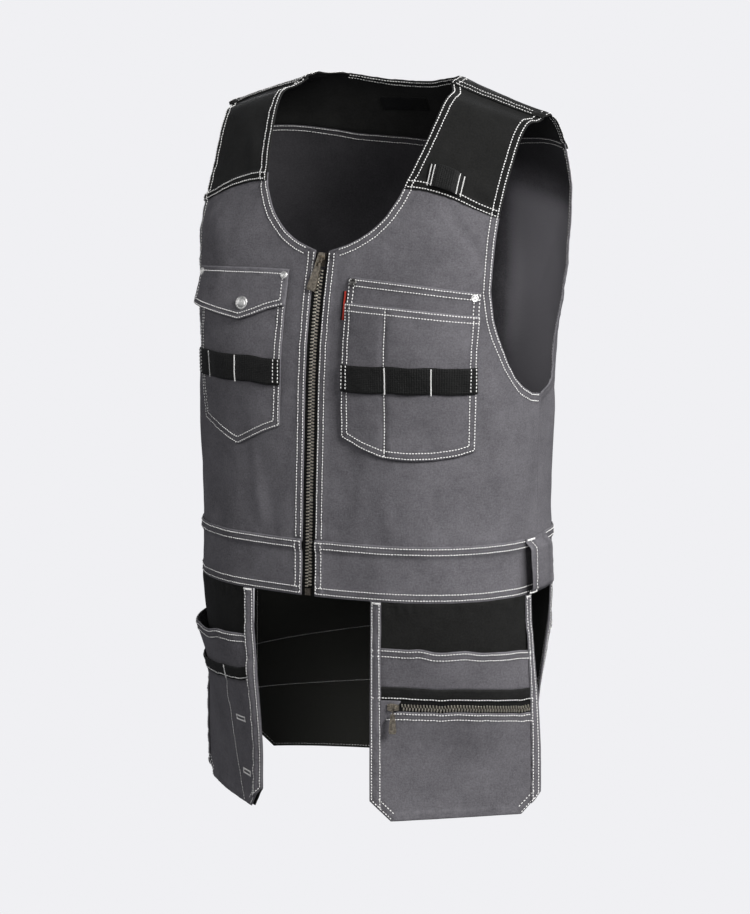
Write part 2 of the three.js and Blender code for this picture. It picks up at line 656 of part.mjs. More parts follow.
// Pull of the main zip: its bar runs across through the crown, the tab hangs at -z. The origin is
// the middle of the bar.
function pullSolid() {
  const bar = PULL_THICK;
  const arm = CROWN_WIDTH / 2 + 1.4;
  const reach = 0.26 * PULL_LENGTH;
  const outline = [
    [-0.3 * PULL_WIDTH, -reach + 1], [0.3 * PULL_WIDTH, -reach + 1],
    [0.5 * PULL_WIDTH, -0.9 * PULL_LENGTH], [0.4 * PULL_WIDTH, -PULL_LENGTH],
    [-0.4 * PULL_WIDTH, -PULL_LENGTH], [-0.5 * PULL_WIDTH, -0.9 * PULL_LENGTH],
  ];
  return joined([
    block(0, 0, 0, 2 * (arm + bar), bar, bar),
    block(-arm - bar / 2, 0, -reach / 2, bar, bar, reach + bar),
    block(arm + bar / 2, 0, -reach / 2, bar, bar, reach + bar),
    plate(outline, 0, bar),
  ]);
}

// Pull of the holster zip: a link round the crown's bar and a tab hanging at -z. The origin is the
// middle of the crown's bar.
const LINK_WIRE = 1;
const LINK_LENGTH = 8;
function linkPullSolid() {
  const room = 0.5 * Math.hypot(CROWN_WIDTH, CROWN_BAR) + 0.4;
  const reach = room + LINK_WIRE / 2;
  const bottom = LINK_LENGTH;
  const long = 0.8 * PULL_LENGTH;
  const outline = [
    [-0.2 * PULL_WIDTH, -bottom + 0.8], [0.2 * PULL_WIDTH, -bottom + 0.8],
    [0.36 * PULL_WIDTH, -0.9 * long], [0.28 * PULL_WIDTH, -long],
    [-0.28 * PULL_WIDTH, -long], [-0.36 * PULL_WIDTH, -0.9 * long],
  ];
  const side = reach + bottom;
  return joined([
    block(0, 0, reach, LINK_WIRE, 2 * reach + LINK_WIRE, LINK_WIRE),
    block(0, reach, (reach - bottom) / 2, LINK_WIRE, LINK_WIRE, side),
    block(0, -reach, (reach - bottom) / 2, LINK_WIRE, LINK_WIRE, side),
    block(0, 0, -bottom, LINK_WIRE, 2 * reach + LINK_WIRE, LINK_WIRE),
    plate(outline, 0, 1.4),
  ]);
}

// Places a small solid: its y along the outward normal, its z up along the zip or the cloth.
function mounted(solid, point, outward, upward, turn = 0) {
  const y = outward.clone().normalize();
  const z = upward.clone().addScaledVector(y, -upward.dot(y)).normalize();
  if (turn) z.applyAxisAngle(y, THREE.MathUtils.degToRad(turn));
  const x = new THREE.Vector3().crossVectors(y, z);
  const matrix = new THREE.Matrix4().makeBasis(x, y, z).setPosition(point);
  return geometryOf(solid).applyMatrix4(matrix);
}

function zipSliderAndPull() {
  const middle = ZIP_TOP + SLIDER_LENGTH / 2;
  const outward = normalOf(bareForm, 0, middle);
  const upward = bareForm(0, middle - 5).sub(bareForm(0, middle + 5));
  const back = TAPE_BACK - 0.8;
  const seat = bareForm(0, middle).addScaledVector(outward, back);
  add('zip_slider', 'brass', mounted(sliderSolid(), seat, outward, upward));
  const hinge = bareForm(0, middle).addScaledVector(outward, back + HINGE_HEIGHT);
  add('zip_pull', 'brass', mounted(pullSolid(), hinge, outward, upward, -PULL_LEAN));
}

// Round fixings: a low dome on a flat disc.
function dome(name, look, size, high, point, outward) {
  const profile = [[0, 0], [0.5, 0], [0.5, 0.35], [0.4, 0.8], [0.2, 1], [0, 1]];
  const points = profile.map(([r, h]) => new THREE.Vector2(r * size, h * high));
  const solid = manifoldOf(new THREE.LatheGeometry(points, 9));
  const up = Math.abs(outward.z) > 0.9 ? new THREE.Vector3(1, 0, 0) : new THREE.Vector3(0, 0, 1);
  add(name, look, mounted(solid, point, outward, up));
}

// Chest pockets.
const pocketV = (table, share, along, drop = 0) => {
  const top = POCKET_TOP + drop + POCKET_LENGTH * read(table, 1, share);
  const bottom = POCKET_TOP + POCKET_LENGTH * read(table, 2, share);
  return mix(top, bottom, along);
};
function puff(share, v) {
  const across = Math.sin(Math.PI * clamp(share, 0, 1)) ** 0.6;
  const along = 1 - ease(POCKET_TOP, POCKET_TOP + POCKET_LENGTH, v);
  return POCKET_PUFF * across * along;
}
const leftS = (share) => POCKET_INNER + LEFT_POCKET_WIDTH * share;
const rightS = (share) => -(POCKET_INNER + RIGHT_POCKET_WIDTH * share);

function leftPocket() {
  const columns = 10;
  sheet('left_pocket_back_layer', 'grey', 10, columns, (i, j, face) => {
    const share = j / columns;
    const v = pocketV(LEFT_POCKET, share, i / 10);
    return body(leftS(share), v, LAYER_STEP + puff(share, v) + face * CLOTH);
  });
  sheet('left_pocket_front_layer', 'grey', 9, columns, (i, j, face) => {
    const share = j / columns;
    const v = pocketV(LEFT_POCKET, share, i / 9, FRONT_LAYER_DROP);
    return body(leftS(share), v, 2 * LAYER_STEP + 2 * puff(share, v) + face * CLOTH);
  });
  sheet('left_pocket_webbing', 'webbing', 2, 12, (i, j, face) => {
    const share = j / 12;
    const v = POCKET_TOP + WEBBING_DROP + (WEBBING_HEIGHT * i) / 2;
    const height = 3 * LAYER_STEP + 2 * puff(share, v) + face * CLOTH;
    return body(leftS(share), v, height);
  });
}

function rightPocket() {
  sheet('right_pocket', 'grey', 9, 9, (i, j, face) => {
    const share = j / 9;
    const v = pocketV(RIGHT_POCKET, share, i / 9);
    return body(rightS(share), v, LAYER_STEP + 0.6 * puff(share, v) + face * CLOTH);
  });
  sheet('right_pocket_flap', 'grey', 4, 9, (i, j, face) => {
    const share = j / 9;
    const v = POCKET_TOP - 4 + FLAP_LENGTH * read(FLAP, 1, share) * (i / 4);
    const wide = rightS(share * 1.05 - 0.015);
    const lift = FLAP_LIFT * read(FLAP, 2, share) * (i / 4) ** 1.3;
    return body(wide, v, 2 * LAYER_STEP + 0.6 * puff(share, v) + lift + face * CLOTH);
  });
  sheet('right_pocket_webbing', 'webbing', 2, 10, (i, j, face) => {
    const share = j / 10;
    const v = POCKET_TOP + WEBBING_DROP + (WEBBING_HEIGHT * i) / 2;
    return body(rightS(share), v, 2 * LAYER_STEP + 0.6 * puff(share, v) + face * CLOTH);
  });
}

function fixings() {
  const spot = (name, look, size, high, s, v, height) => {
    const outward = normalOf(bareForm, s, v);
    dome(name, look, size, high, body(s, v, height), outward);
  };
  const onLeft = (share, v) => LAYER_STEP + CLOTH + puff(share, v) + 0.7;
  const underSnap = puff(SNAP_SHARE, POCKET_TOP + 0.62 * FLAP_LENGTH);
  const overFlap = 3 * LAYER_STEP + 0.6 * underSnap + 0.2 * FLAP_LIFT;
  const snapDown = POCKET_TOP + 0.62 * FLAP_LENGTH;
  const innerDown = POCKET_TOP + 6;
  const outerDown = POCKET_TOP + 14;
  spot('pocket_snap', 'nickel', SNAP_SIZE, 2.6, rightS(SNAP_SHARE), snapDown, overFlap - 0.1);
  spot('right_rivet_inner', 'nickel', RIVET_SIZE, 1.8, rightS(0.02), POCKET_TOP + 3, 3 * LAYER_STEP + 1);
  spot('right_rivet_outer', 'nickel', RIVET_SIZE, 1.8, rightS(0.965), POCKET_TOP + 3, 3 * LAYER_STEP + 2.2);
  spot('left_rivet_inner', 'nickel', RIVET_SIZE, 1.8, leftS(0.045), innerDown, onLeft(0.045, innerDown));
  spot('left_rivet_outer', 'nickel', RIVET_SIZE, 1.8, leftS(0.95), outerDown, onLeft(0.95, outerDown));
}

// Tab in the left pocket's side seam, shoulder loop and the neck label.
function smallCloth() {
  sheet('pocket_side_tab', 'tab', 2, 1, (i, j, face) => {
    const s = POCKET_INNER - SEAM_GAP - TAB_REACH * (1 - j);
    const v = POCKET_TOP + 16 + (TAB_LENGTH * i) / 2;
    return body(s, v, LAYER_STEP + 0.2 + face * CLOTH);
  });
  const stands = [0, 0.75, 1, 1, 0.75, 0];
  sheet('shoulder_loop', 'webbing', 2, 5, (i, j, face) => {
    const s = 0.535 * SHOULDER_HALF + (SHOULDER_LOOP_WIDTH * j) / 5;
    const v = yokeFrontLine(s) + 4 - SHOULDER_LOOP_HEIGHT * (1 - i / 2);
    return body(s, v, LAYER_STEP + LOOP_STAND * stands[j] + face * CLOTH);
  });
  sheet('neck_label', 'label', 1, 3, (i, j, face) => {
    const s = LABEL_WIDTH * (j / 3 - 0.5) - LABEL_SHIFT;
    const v = -(NECK_DEPTH_BACK + LABEL_DROP + LABEL_HEIGHT * i);
    return body(s, v, -LAYER_GAP - 0.8 * (1 - face));
  });
}

// How each holster hangs: front or back (1, -1), distance of its inner edge from the centre, how
// flat its free end is, how far that end stands out, turn of the free end in degrees, length.
const HANG = {
  frontLeft: { side: 1, face: 1, start: HOLSTER_FRONT_INNER, flat: 0.92, out: 12, turn: 0, length: 1 },
  frontRight: { side: -1, face: 1, start: HOLSTER_FRONT_INNER, flat: 0.92, out: -1, turn: -5, length: 1.03 },
  rearLeft: { side: 1, face: -1, start: HOLSTER_REAR_INNER, flat: 0.6, out: -16, turn: 0, length: 0.97 },
  rearRight: { side: -1, face: -1, start: HOLSTER_REAR_INNER, flat: 0.5, out: -6, turn: 0, length: 0.97 },
};

// Holster surface: w runs from the inner edge outward, d down from the hem. It leaves the hem on
// the body's curve and hangs flatter towards its bottom edge.
function hanging({ side, face, start, flat, out, turn, length }) {
  const hemPoint = (w) => bareForm(side * (start + w), face * BODY_LENGTH);
  const first = hemPoint(0);
  const final = hemPoint(HOLSTER_WIDTH);
  const middle = first.clone().add(final).multiplyScalar(0.5);
  const outward = new THREE.Vector3(middle.x, middle.y, 0).normalize();
  const direction = final.clone().sub(first).setZ(0).normalize();
  direction.applyAxisAngle(new THREE.Vector3(0, 0, 1), THREE.MathUtils.degToRad(turn * side * face));
  const freeEnd = middle.clone().addScaledVector(outward, out);
  const bare = (w, d) => {
    const curved = hemPoint(w);
    const share = flat * ease(0, 0.8 * HOLSTER_LENGTH, d);
    const z = mix(curved.z, first.z, share) - d * length;
    return curved.lerp(freeEnd.clone().addScaledVector(direction, w - HOLSTER_WIDTH / 2), share).setZ(z);
  };
  return (w, d, height) => {
    const step = 1.5;
    const along = bare(w + step, d).sub(bare(w - step, d));
    const downward = bare(w, d + step).sub(bare(w, d - step));
    const normal = downward.cross(along).normalize();
    if (normal.dot(outward) < 0) normal.negate();
    return bare(w, d).addScaledVector(normal, height);
  };
}

// Bottom edge of a holster at a place across it, with both corners cut off.
function holsterBottom(w, inset) {
  const fromEdge = Math.min(w, HOLSTER_WIDTH - w);
  const cut = Math.max(0, HOLSTER_CHAMFER - fromEdge);
  return HOLSTER_LENGTH - inset - cut;
}

// How far a holster pocket stands off its base.
function stand(w, d, gape, from) {
  const share = clamp((w - BINDING_WIDTH) / (HOLSTER_WIDTH - 2 * BINDING_WIDTH), 0, 1);
  const across = Math.sin(Math.PI * share) ** 0.75;
  const along = 1 - ease(from, HOLSTER_LENGTH, d) * 0.96;
  return gape * across * along;
}

const acrossAt = (share) => {
  const cut = HOLSTER_CHAMFER / HOLSTER_WIDTH;
  const inner = BINDING_WIDTH / HOLSTER_WIDTH;
  const marks = [0, inner, cut];
  const spans = 8;
  for (let k = 1; k < spans; k += 1) marks.push(cut + ((1 - 2 * cut) * k) / spans);
  marks.push(1 - cut, 1 - inner, 1);
  return marks[share] * HOLSTER_WIDTH;
};
const ACROSS = 12;

function holsterBase(name, place) {
  sheet(name, 'black', 6, ACROSS, (i, j, face) => {
    const w = acrossAt(j);
    const d = mix(SEAM_GAP, holsterBottom(w, 0), i / 6);
    return place(w, d, face * CLOTH);
  });
}

// Line across a holster: slanted down towards the outer edge and arched up in the middle.
function crossLine(w, d, slant, arch) {
  const share = w / HOLSTER_WIDTH;
  return d + slant * share - arch * Math.sin(Math.PI * share);
}

function holsterPocket(name, look, place, layer, gapeOf, from, to, rows, slant = 0, arch = 0) {
  sheet(name, look, rows, ACROSS, (i, j, face) => {
    const w = acrossAt(j);
    const top = crossLine(w, from, slant, arch);
    const bottom = Math.min(to === null ? Infinity : crossLine(w, to, slant, arch), holsterBottom(w, 0));
    const d = mix(top, bottom, i / rows);
    return place(w, d, layer * LAYER_STEP + gapeOf(w, d) + face * CLOTH);
  });
}

// Binding tapes down both edges, lying on the base first and on the pocket layers below the mouth.
// Levels are shares of the tape's length, closer together where it climbs over a pocket's mouth.
const BINDING_LEVELS = [0, 0.08, 0.15, 0.2, 0.32, 0.37, 0.5, 0.68, 0.84, 1];
function bindings(prefix, place, layers) {
  for (const [end, label] of [[0, 'inner'], [1, 'outer']]) {
    const rows = BINDING_LEVELS.length - 1;
    sheet(`${prefix}_binding_${label}`, 'grey', rows, 2, (i, j, face) => {
      const near = BINDING_WIDTH * (j / 2);
      const w = end === 0 ? near : HOLSTER_WIDTH - near;
      const cutShare = near / HOLSTER_CHAMFER;
      const bottom = HOLSTER_LENGTH - HOLSTER_CHAMFER * (1 - cutShare);
      const half = HOLSTER_LENGTH / 2;
      const level = 2 * BINDING_LEVELS[i];
      const d = level < 1 ? mix(SEAM_GAP, half, level) : mix(half, bottom, level - 1);
      const onLayer = (count) => count * LAYER_STEP + CLOTH + 2 * SEAM_GAP;
      let height = onLayer(0);
      for (const [start, count] of layers) {
        height = mix(height, onLayer(count), ease(start - 18, start - 5, d));
      }
      return place(w, d, height + face * CLOTH);
    });
  }
}

function frontHolsters() {
  const slant = MOUTH_SLANT;
  const arch = MOUTH_ARCH;
  const tapeTop = SECOND_MOUTH_DROP + TRIM_HEIGHT;
  const leftGape = (w, d) => stand(w, d, 0.7 * MOUTH_GAPE, MOUTH_DROP);
  const rightGape = (w, d) => stand(w, d, MOUTH_GAPE, MOUTH_DROP);

  const left = hanging(HANG.frontLeft);
  holsterBase('front_holster_left_base', left);
  holsterPocket('front_holster_left_upper_pocket', 'grey', left, 1, leftGape, MOUTH_DROP,
    SECOND_MOUTH_DROP - SEAM_GAP, 3, slant, arch);
  holsterPocket('front_holster_left_trim', 'black', left, 1, leftGape, SECOND_MOUTH_DROP,
    tapeTop - SEAM_GAP, 1, slant, arch);
  holsterPocket('front_holster_left_zip_tape', 'tape', left, 1, leftGape, tapeTop,
    tapeTop + HOLSTER_TAPE - SEAM_GAP, 1, slant, arch);
  holsterPocket('front_holster_left_lower_pocket', 'grey', left, 1, leftGape, tapeTop + HOLSTER_TAPE,
    null, 6, slant, arch);
  bindings('front_holster_left', left, [[MOUTH_DROP, 1]]);

  const right = hanging(HANG.frontRight);
  const secondGape = (w, d) => rightGape(w, d) + stand(w, d, SECOND_GAPE, SECOND_MOUTH_DROP);
  holsterBase('front_holster_right_base', right);
  holsterPocket('front_holster_right_upper_pocket', 'grey', right, 1, rightGape, MOUTH_DROP,
    0.62 * HOLSTER_LENGTH, 5);
  holsterPocket('front_holster_right_trim', 'black', right, 2, secondGape, SECOND_MOUTH_DROP,
    SECOND_MOUTH_DROP + TRIM_HEIGHT - SEAM_GAP, 1);
  holsterPocket('front_holster_right_lower_pocket', 'grey', right, 2, secondGape,
    SECOND_MOUTH_DROP + TRIM_HEIGHT, null, 6);
  bindings('front_holster_right', right, [[MOUTH_DROP, 1], [SECOND_MOUTH_DROP, 2]]);

  return { left, leftGape, tapeTop };
}

function rearHolsters() {
  for (const [hang, label] of [[HANG.rearLeft, 'left'], [HANG.rearRight, 'right']]) {
    const place = hanging(hang);
    const gape = (w, d) => stand(w, d, MOUTH_GAPE, MOUTH_DROP);
    holsterBase(`rear_holster_${label}_base`, place);
    holsterPocket(`rear_holster_${label}_pocket`, 'grey', place, 1, gape, MOUTH_DROP, null, 7);
    bindings(`rear_holster_${label}`, place, [[MOUTH_DROP, 1]]);
  }
}

// Zip of the left front holster: chain on the tape, slider at its inner end and a hanging pull.
function holsterZip({ left, leftGape, tapeTop }) {
  const line = (w) => crossLine(w, tapeTop + HOLSTER_TAPE * 0.48, MOUTH_SLANT, MOUTH_ARCH);
  const start = 27;
  const end = HOLSTER_WIDTH - BINDING_WIDTH - 2;
  const over = (w, d) => 2 * LAYER_STEP + 0.4 + leftGape(w, d);
  const columns = 12;
  sheet('holster_zip_chain', 'brass', 1, columns, (i, j, face) => {
    const w = mix(start + SLIDER_LENGTH / 2 + 1.5, end, j / columns);
    const d = line(w) + CHAIN_WIDTH * 0.9 * (i - 0.5);
    return left(w, d, over(w, d) + face * 1.6);
  });
  const d = line(start);
  const point = left(start, d, over(start, d) - SEAM_GAP);
  const ahead = left(start + 6, line(start + 6), over(start + 6, line(start + 6)) - SEAM_GAP);
  const below = left(start, d + 5, over(start, d + 5) + 0.4);
  const along = point.clone().sub(ahead).normalize();
  const outward = along.clone().cross(below.clone().sub(point)).normalize();
  if (outward.y > 0) outward.negate();
  const slider = sliderSolid().scale(SMALL_ZIP);
  add('holster_zip_slider', 'brass', mounted(slider, point, outward, along));
  const barMiddle = SMALL_ZIP * (SLIDER_THICK + CROWN_HEIGHT - CROWN_BAR / 2);
  const hinge = point.clone().addScaledVector(outward, barMiddle);
  const upward = new THREE.Vector3().crossVectors(outward, along).normalize();
  if (upward.z < 0) upward.negate();
  add('holster_zip_pull', 'brass', mounted(linkPullSolid(), hinge, outward, upward));
}

frontPanel(1, 'left');
frontPanel(-1, 'right');
backPanel();
frontYoke(1, 'left');
frontYoke(-1, 'right');
backYoke();
waistbands();
sideLoops();
mainZip();
zipSliderAndPull();
leftPocket();
rightPocket();
fixings();
smallCloth();
holsterZip(frontHolsters());
rearHolsters();

const vest = new THREE.Group();
vest.name = 'utility_work_vest';
for (const mesh of solids) vest.add(mesh);

export default vest;
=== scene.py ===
"""Looks of the utility work vest: cloth, stitching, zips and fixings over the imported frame."""
import math
import bpy
import numpy as np
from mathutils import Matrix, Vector


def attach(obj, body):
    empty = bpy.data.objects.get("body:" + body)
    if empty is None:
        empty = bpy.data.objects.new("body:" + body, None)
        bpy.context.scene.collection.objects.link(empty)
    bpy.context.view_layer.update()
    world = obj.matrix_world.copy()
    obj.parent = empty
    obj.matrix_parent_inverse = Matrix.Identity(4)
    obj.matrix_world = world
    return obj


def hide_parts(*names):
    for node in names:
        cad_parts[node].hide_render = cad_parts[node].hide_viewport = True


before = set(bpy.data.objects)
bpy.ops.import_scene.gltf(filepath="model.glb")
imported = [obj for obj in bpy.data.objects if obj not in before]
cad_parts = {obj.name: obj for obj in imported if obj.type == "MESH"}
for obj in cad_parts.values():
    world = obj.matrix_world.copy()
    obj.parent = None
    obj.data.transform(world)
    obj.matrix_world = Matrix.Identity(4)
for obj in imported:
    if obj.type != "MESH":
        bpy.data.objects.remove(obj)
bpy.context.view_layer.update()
MM = 0.001

# Camera at the photograph's viewing angle; focal length and height in pixels of the photograph.
PHOTO_FOCAL, PHOTO_HEIGHT, SENSOR = 4140, 914, 36
cam_data = bpy.data.cameras.new("camera")
cam = bpy.data.objects.new("camera", cam_data)
bpy.context.scene.collection.objects.link(cam)
bpy.context.scene.camera = cam
cam_data.sensor_width = SENSOR
cam_data.sensor_fit = "AUTO"
cam_data.lens = PHOTO_FOCAL * SENSOR / PHOTO_HEIGHT
cam_data.clip_end = 50
turn, dip = math.radians(31.05), math.radians(9.0)
aim = Vector((-math.sin(turn) * math.cos(dip), math.cos(turn) * math.cos(dip), -math.sin(dip)))
cam.location = (2.5113, -4.1795, 0.3159)
cam.rotation_mode = "QUATERNION"
cam.rotation_quaternion = aim.to_track_quat("-Z", "Y")

# Body form: the same named sizes and tables as the solids.
BODY_LENGTH, HALF_WIDTH, FRONT_DEPTH, BACK_DEPTH = 652, 218, 159, 132
RIDGE_SET_BACK, FRONT_EXTRA, SHOULDER_HALF, SHOULDER_SLOPE = 20, 8, 221, 0.32
NECK_HALF, SLOPE_START, SLOPE_EASE = 98, 70, 25
CLOTH, LAYER_STEP = 1.5, 2.3
NECK_DEPTH_FRONT, NECK_DEPTH_BACK, SHOULDER_SEAM = 252, 60, 20
YOKE_FRONT, YOKE_BACK, SEAM_BLEND, ARMHOLE_DEPTH = 165, 147, 80, 428
BAND_HEIGHT, FRONT_EDGE = 63, 9
BAND_TOP = BODY_LENGTH - BAND_HEIGHT
POCKET_TOP, POCKET_LENGTH, POCKET_INNER = 280, 204, 42
LEFT_POCKET_WIDTH, RIGHT_POCKET_WIDTH, FRONT_LAYER_DROP = 158, 138, 29
FLAP_LENGTH, FLAP_LIFT, WEBBING_HEIGHT, WEBBING_DROP, POCKET_PUFF = 61, 7, 30, 98, 7.5
HOLSTER_WIDTH, HOLSTER_LENGTH, HOLSTER_FRONT_INNER, HOLSTER_REAR_INNER = 206, 259, 82, 28
HOLSTER_CHAMFER, BINDING_WIDTH, MOUTH_DROP, MOUTH_GAPE = 24, 12, 55, 19
MOUTH_ARCH, MOUTH_SLANT, SECOND_MOUTH_DROP, SECOND_GAPE = 7, 12, 100, 9
TRIM_HEIGHT, HOLSTER_TAPE = 15, 17

FORM = np.array([
    [0.000, 0.000, 0.000, 1.045, 0.20, 0.20, 1.0, 1.00],
    [0.022, 0.087, 0.104, 1.048, 0.20, 0.20, 1.0, 1.00],
    [0.046, 0.178, 0.222, 1.052, 0.21, 0.21, 1.0, 0.99],
    [0.092, 0.360, 0.422, 1.060, 0.22, 0.22, 0.95, 0.95],
    [0.176, 0.550, 0.690, 1.092, 0.25, 0.25, 0.8, 0.85],
    [0.261, 0.695, 0.856, 1.101, 0.29, 0.30, 0.6, 0.70],
    [0.330, 0.775, 0.940, 1.090, 0.33, 0.32, 0.42, 0.48],
    [0.383, 0.820, 0.985, 1.069, 0.34, 0.31, 0.3, 0.30],
    [0.529, 0.906, 1.020, 1.018, 0.34, 0.27, 0.0, 0.00],
    [0.736, 0.962, 1.010, 0.991, 0.26, 0.22, 0.0, 0.00],
    [0.905, 0.987, 1.000, 0.991, 0.22, 0.20, 0.0, 0.00],
    [1.000, 1.000, 1.000, 1.000, 0.20, 0.20, 0.0, 0.00],
])
NECK_FRONT = np.array([
    [0.08, 1.00], [0.16, 1.11], [0.29, 1.13], [0.40, 1.10], [0.52, 1.05], [0.63, 0.98],
    [0.75, 0.88], [0.86, 0.71], [0.93, 0.51], [0.972, 0.31], [1.00, FRONT_EDGE / NECK_HALF],
])
ARM_FRONT = np.array([
    [0.000, 0.995, 0.00], [0.045, 0.975, 0.00], [0.115, 0.955, 0.00], [0.215, 0.940, 0.00],
    [0.320, 0.935, 0.00], [0.407, 0.935, 0.00], [0.515, 0.942, 0.00], [0.665, 0.955, 0.00],
    [0.752, 0.962, 0.06], [0.806, 0.970, 0.14], [0.845, 0.973, 0.22], [0.884, 0.975, 0.31],
    [0.924, 0.978, 0.45],
    [0.955, 0.980, 0.62], [0.974, 0.981, 0.79], [0.984, 0.982, 1.00], [1.000, 0.985, 1.00],
])
ARM_BACK = np.array([
    [0.000, 0.995, 0.00], [0.047, 0.994, 0.00], [0.117, 1.022, 0.00], [0.187, 1.066, 0.00],
    [0.262, 1.104, 0.00], [0.350, 1.118, 0.00], [0.467, 1.122, 0.00], [0.673, 1.110, 0.00],
    [0.806, 1.108, 0.01], [0.880, 1.112, 0.04], [0.930, 1.115, 0.10],
    [0.958, 1.117, 0.22], [0.974, 1.118, 0.45], [0.984, 1.119, 1.00], [1.000, 1.120, 1.00],
])
YOKE_FRONT_LINE = np.array([
    [0.0, 1.04], [0.38, 1.00], [0.54, 0.975], [0.68, 0.985], [0.82, 1.03], [0.93, 1.065],
])
YOKE_BACK_LINE = np.array([[0.0, 1.00], [0.41, 0.925], [0.68, 0.755], [0.86, 0.645], [1.10, 0.56]])
# face, across, down, lean, long, wide, high
FOLDS = np.array([
    [1, 1.12, 0.70, 24, 95, 26, 4.5], [1, 1.02, 0.80, -8, 80, 24, -3.0],
    [1, 0.55, 0.80, 6, 90, 30, 2.5], [1, -1.00, 0.74, -18, 95, 26, 3.5],
    [1, -0.70, 0.82, 5, 80, 26, -2.5], [1, 0.70, 0.36, -32, 60, 26, 3.0],
    [1, -0.72, 0.36, 30, 60, 26, 3.0], [-1, 0.95, 0.55, -20, 120, 32, 4.0],
    [-1, -0.95, 0.55, 20, 120, 32, 4.0], [-1, 0.35, 0.72, -6, 130, 34, -3.5],
    [-1, -0.35, 0.76, 8, 120, 34, 3.0], [-1, 0.00, 0.45, 0, 110, 40, 2.5],
])
# Finer creases that only the cloth shows: same columns.
CREASES = np.array([
    [1, 0.90, 0.245, 62, 40, 7, 0.9], [1, 0.80, 0.33, 40, 45, 8, -0.8],
    [1, -0.86, 0.32, -44, 45, 8, 0.9], [1, 1.14, 0.62, 30, 60, 8, 1.2],
    [1, 1.26, 0.66, 22, 70, 9, -1.1], [1, 1.06, 0.78, 12, 60, 8, 1.0],
    [1, 1.30, 0.72, 6, 120, 13, 2.2], [1, 1.17, 0.76, 3, 95, 11, -1.7],
    [1, 1.00, 0.66, 26, 60, 14, 1.5],
    [1, 0.88, 0.52, -38, 60, 13, 1.3], [1, 0.40, 0.24, -34, 70, 15, 1.4],
    [1, -0.45, 0.25, 38, 60, 15, 1.3],
    [1, 0.30, 0.83, -14, 48, 8, 0.8], [1, 0.72, 0.85, 9, 36, 7, -0.9],
    [1, 0.46, 0.86, 4, 30, 6, 0.8], [1, -0.34, 0.82, 10, 55, 8, 0.9],
    [1, -0.92, 0.80, -12, 55, 8, -1.0], [1, 0.56, 0.20, -18, 34, 8, 0.8],
    [1, -0.60, 0.19, 22, 34, 8, 0.8], [1, 0.90, 0.13, -10, 40, 9, 0.9],
    [-1, 0.80, 0.40, -24, 70, 10, 1.2], [-1, -0.74, 0.43, 28, 70, 10, 1.2],
    [-1, 0.20, 0.60, -8, 80, 10, 1.1], [-1, -0.50, 0.62, 12, 80, 10, -1.1],
    [-1, 0.60, 0.80, -5, 50, 9, 1.0], [-1, -0.15, 0.82, 6, 50, 9, 1.0],
    [-1, 1.10, 0.70, -16, 70, 10, 1.1], [-1, -1.12, 0.72, 18, 70, 10, 1.1],
])
LEFT_POCKET = np.array([
    [0.00, 0.000, 0.895], [0.17, 0.006, 0.955], [0.34, 0.010, 1.000], [0.52, 0.015, 1.008],
    [0.70, 0.022, 1.004], [0.87, 0.030, 0.985], [1.00, 0.036, 0.955],
])
RIGHT_POCKET = np.array([
    [0.00, 0.000, 0.865], [0.16, 0.000, 0.905], [0.32, 0.000, 0.955], [0.47, 0.000, 1.000],
    [0.64, 0.000, 0.962], [0.82, 0.000, 0.925], [1.00, 0.000, 0.885],
])
FLAP = np.array([
    [0.00, 0.66, 0.20], [0.16, 0.76, 0.25], [0.30, 0.90, 0.30], [0.43, 1.00, 0.35],
    [0.64, 0.93, 0.55], [0.82, 0.86, 0.85], [1.00, 0.78, 1.20],
])


def mix(a, b, t):
    return a + (b - a) * t


def ease(low, high, value):
    t = np.clip((value - low) / (high - low), 0, 1)
    return t * t * (3 - 2 * t)


def read(rows, column, at):
    return np.interp(at, rows[:, 0], rows[:, column])


def smooth_read(rows, column, at):
    x, y = rows[:, 0], rows[:, column]
    at = np.clip(at, x[0], x[-1])
    k = np.clip(np.searchsorted(x, at, side="left") - 1, 0, len(x) - 2)
    gap = np.diff(x)
    slope = np.diff(y) / gap
    inner = (slope[:-1] * gap[1:] + slope[1:] * gap[:-1]) / (gap[:-1] + gap[1:])
    tan = np.concatenate([[slope[0]], inner, [slope[-1]]])
    h = gap[k]
    t = (at - x[k]) / h
    return (y[k] * (1 + 2 * t) * (1 - t) ** 2 + h * tan[k] * t * (1 - t) ** 2
            + y[k + 1] * t * t * (3 - 2 * t) - h * tan[k + 1] * t * t * (1 - t))


FORM_ROWS = 320
DROP_STEP = BODY_LENGTH / FORM_ROWS


def drop_table(column, size):
    depth = smooth_read(FORM, column, np.arange(FORM_ROWS + 1) / FORM_ROWS) * size
    run = np.abs(np.diff(depth))
    fall = np.sqrt(np.maximum(DROP_STEP ** 2 - run ** 2, (0.1 * DROP_STEP) ** 2))
    return np.concatenate([[0], np.cumsum(fall)])


FRONT_DROPS, BACK_DROPS = drop_table(1, FRONT_DEPTH), drop_table(2, BACK_DEPTH)


def drop_at(drops, down):
    return np.interp(down / DROP_STEP, np.arange(FORM_ROWS + 1), drops) + np.maximum(0, down - BODY_LENGTH)


def ridge_drop(x):
    def bend(at):
        return 0.5 * (at - SLOPE_START + np.hypot(at - SLOPE_START, SLOPE_EASE))
    return SHOULDER_SLOPE * (bend(np.abs(x)) - bend(0.84 * NECK_HALF))


def ring(down):
    at = down / BODY_LENGTH
    take = [smooth_read(FORM, c, at) for c in range(8)]
    return dict(half=take[3] * HALF_WIDTH, front=take[1] * FRONT_DEPTH, back=take[2] * BACK_DEPTH,
                fsq=take[4], bsq=take[5], shift=take[6] * RIDGE_SET_BACK, slope=take[7],
                fdrop=drop_at(FRONT_DROPS, down) + FRONT_EXTRA * ease(0.04, 0.34, at),
                bdrop=drop_at(BACK_DROPS, down))


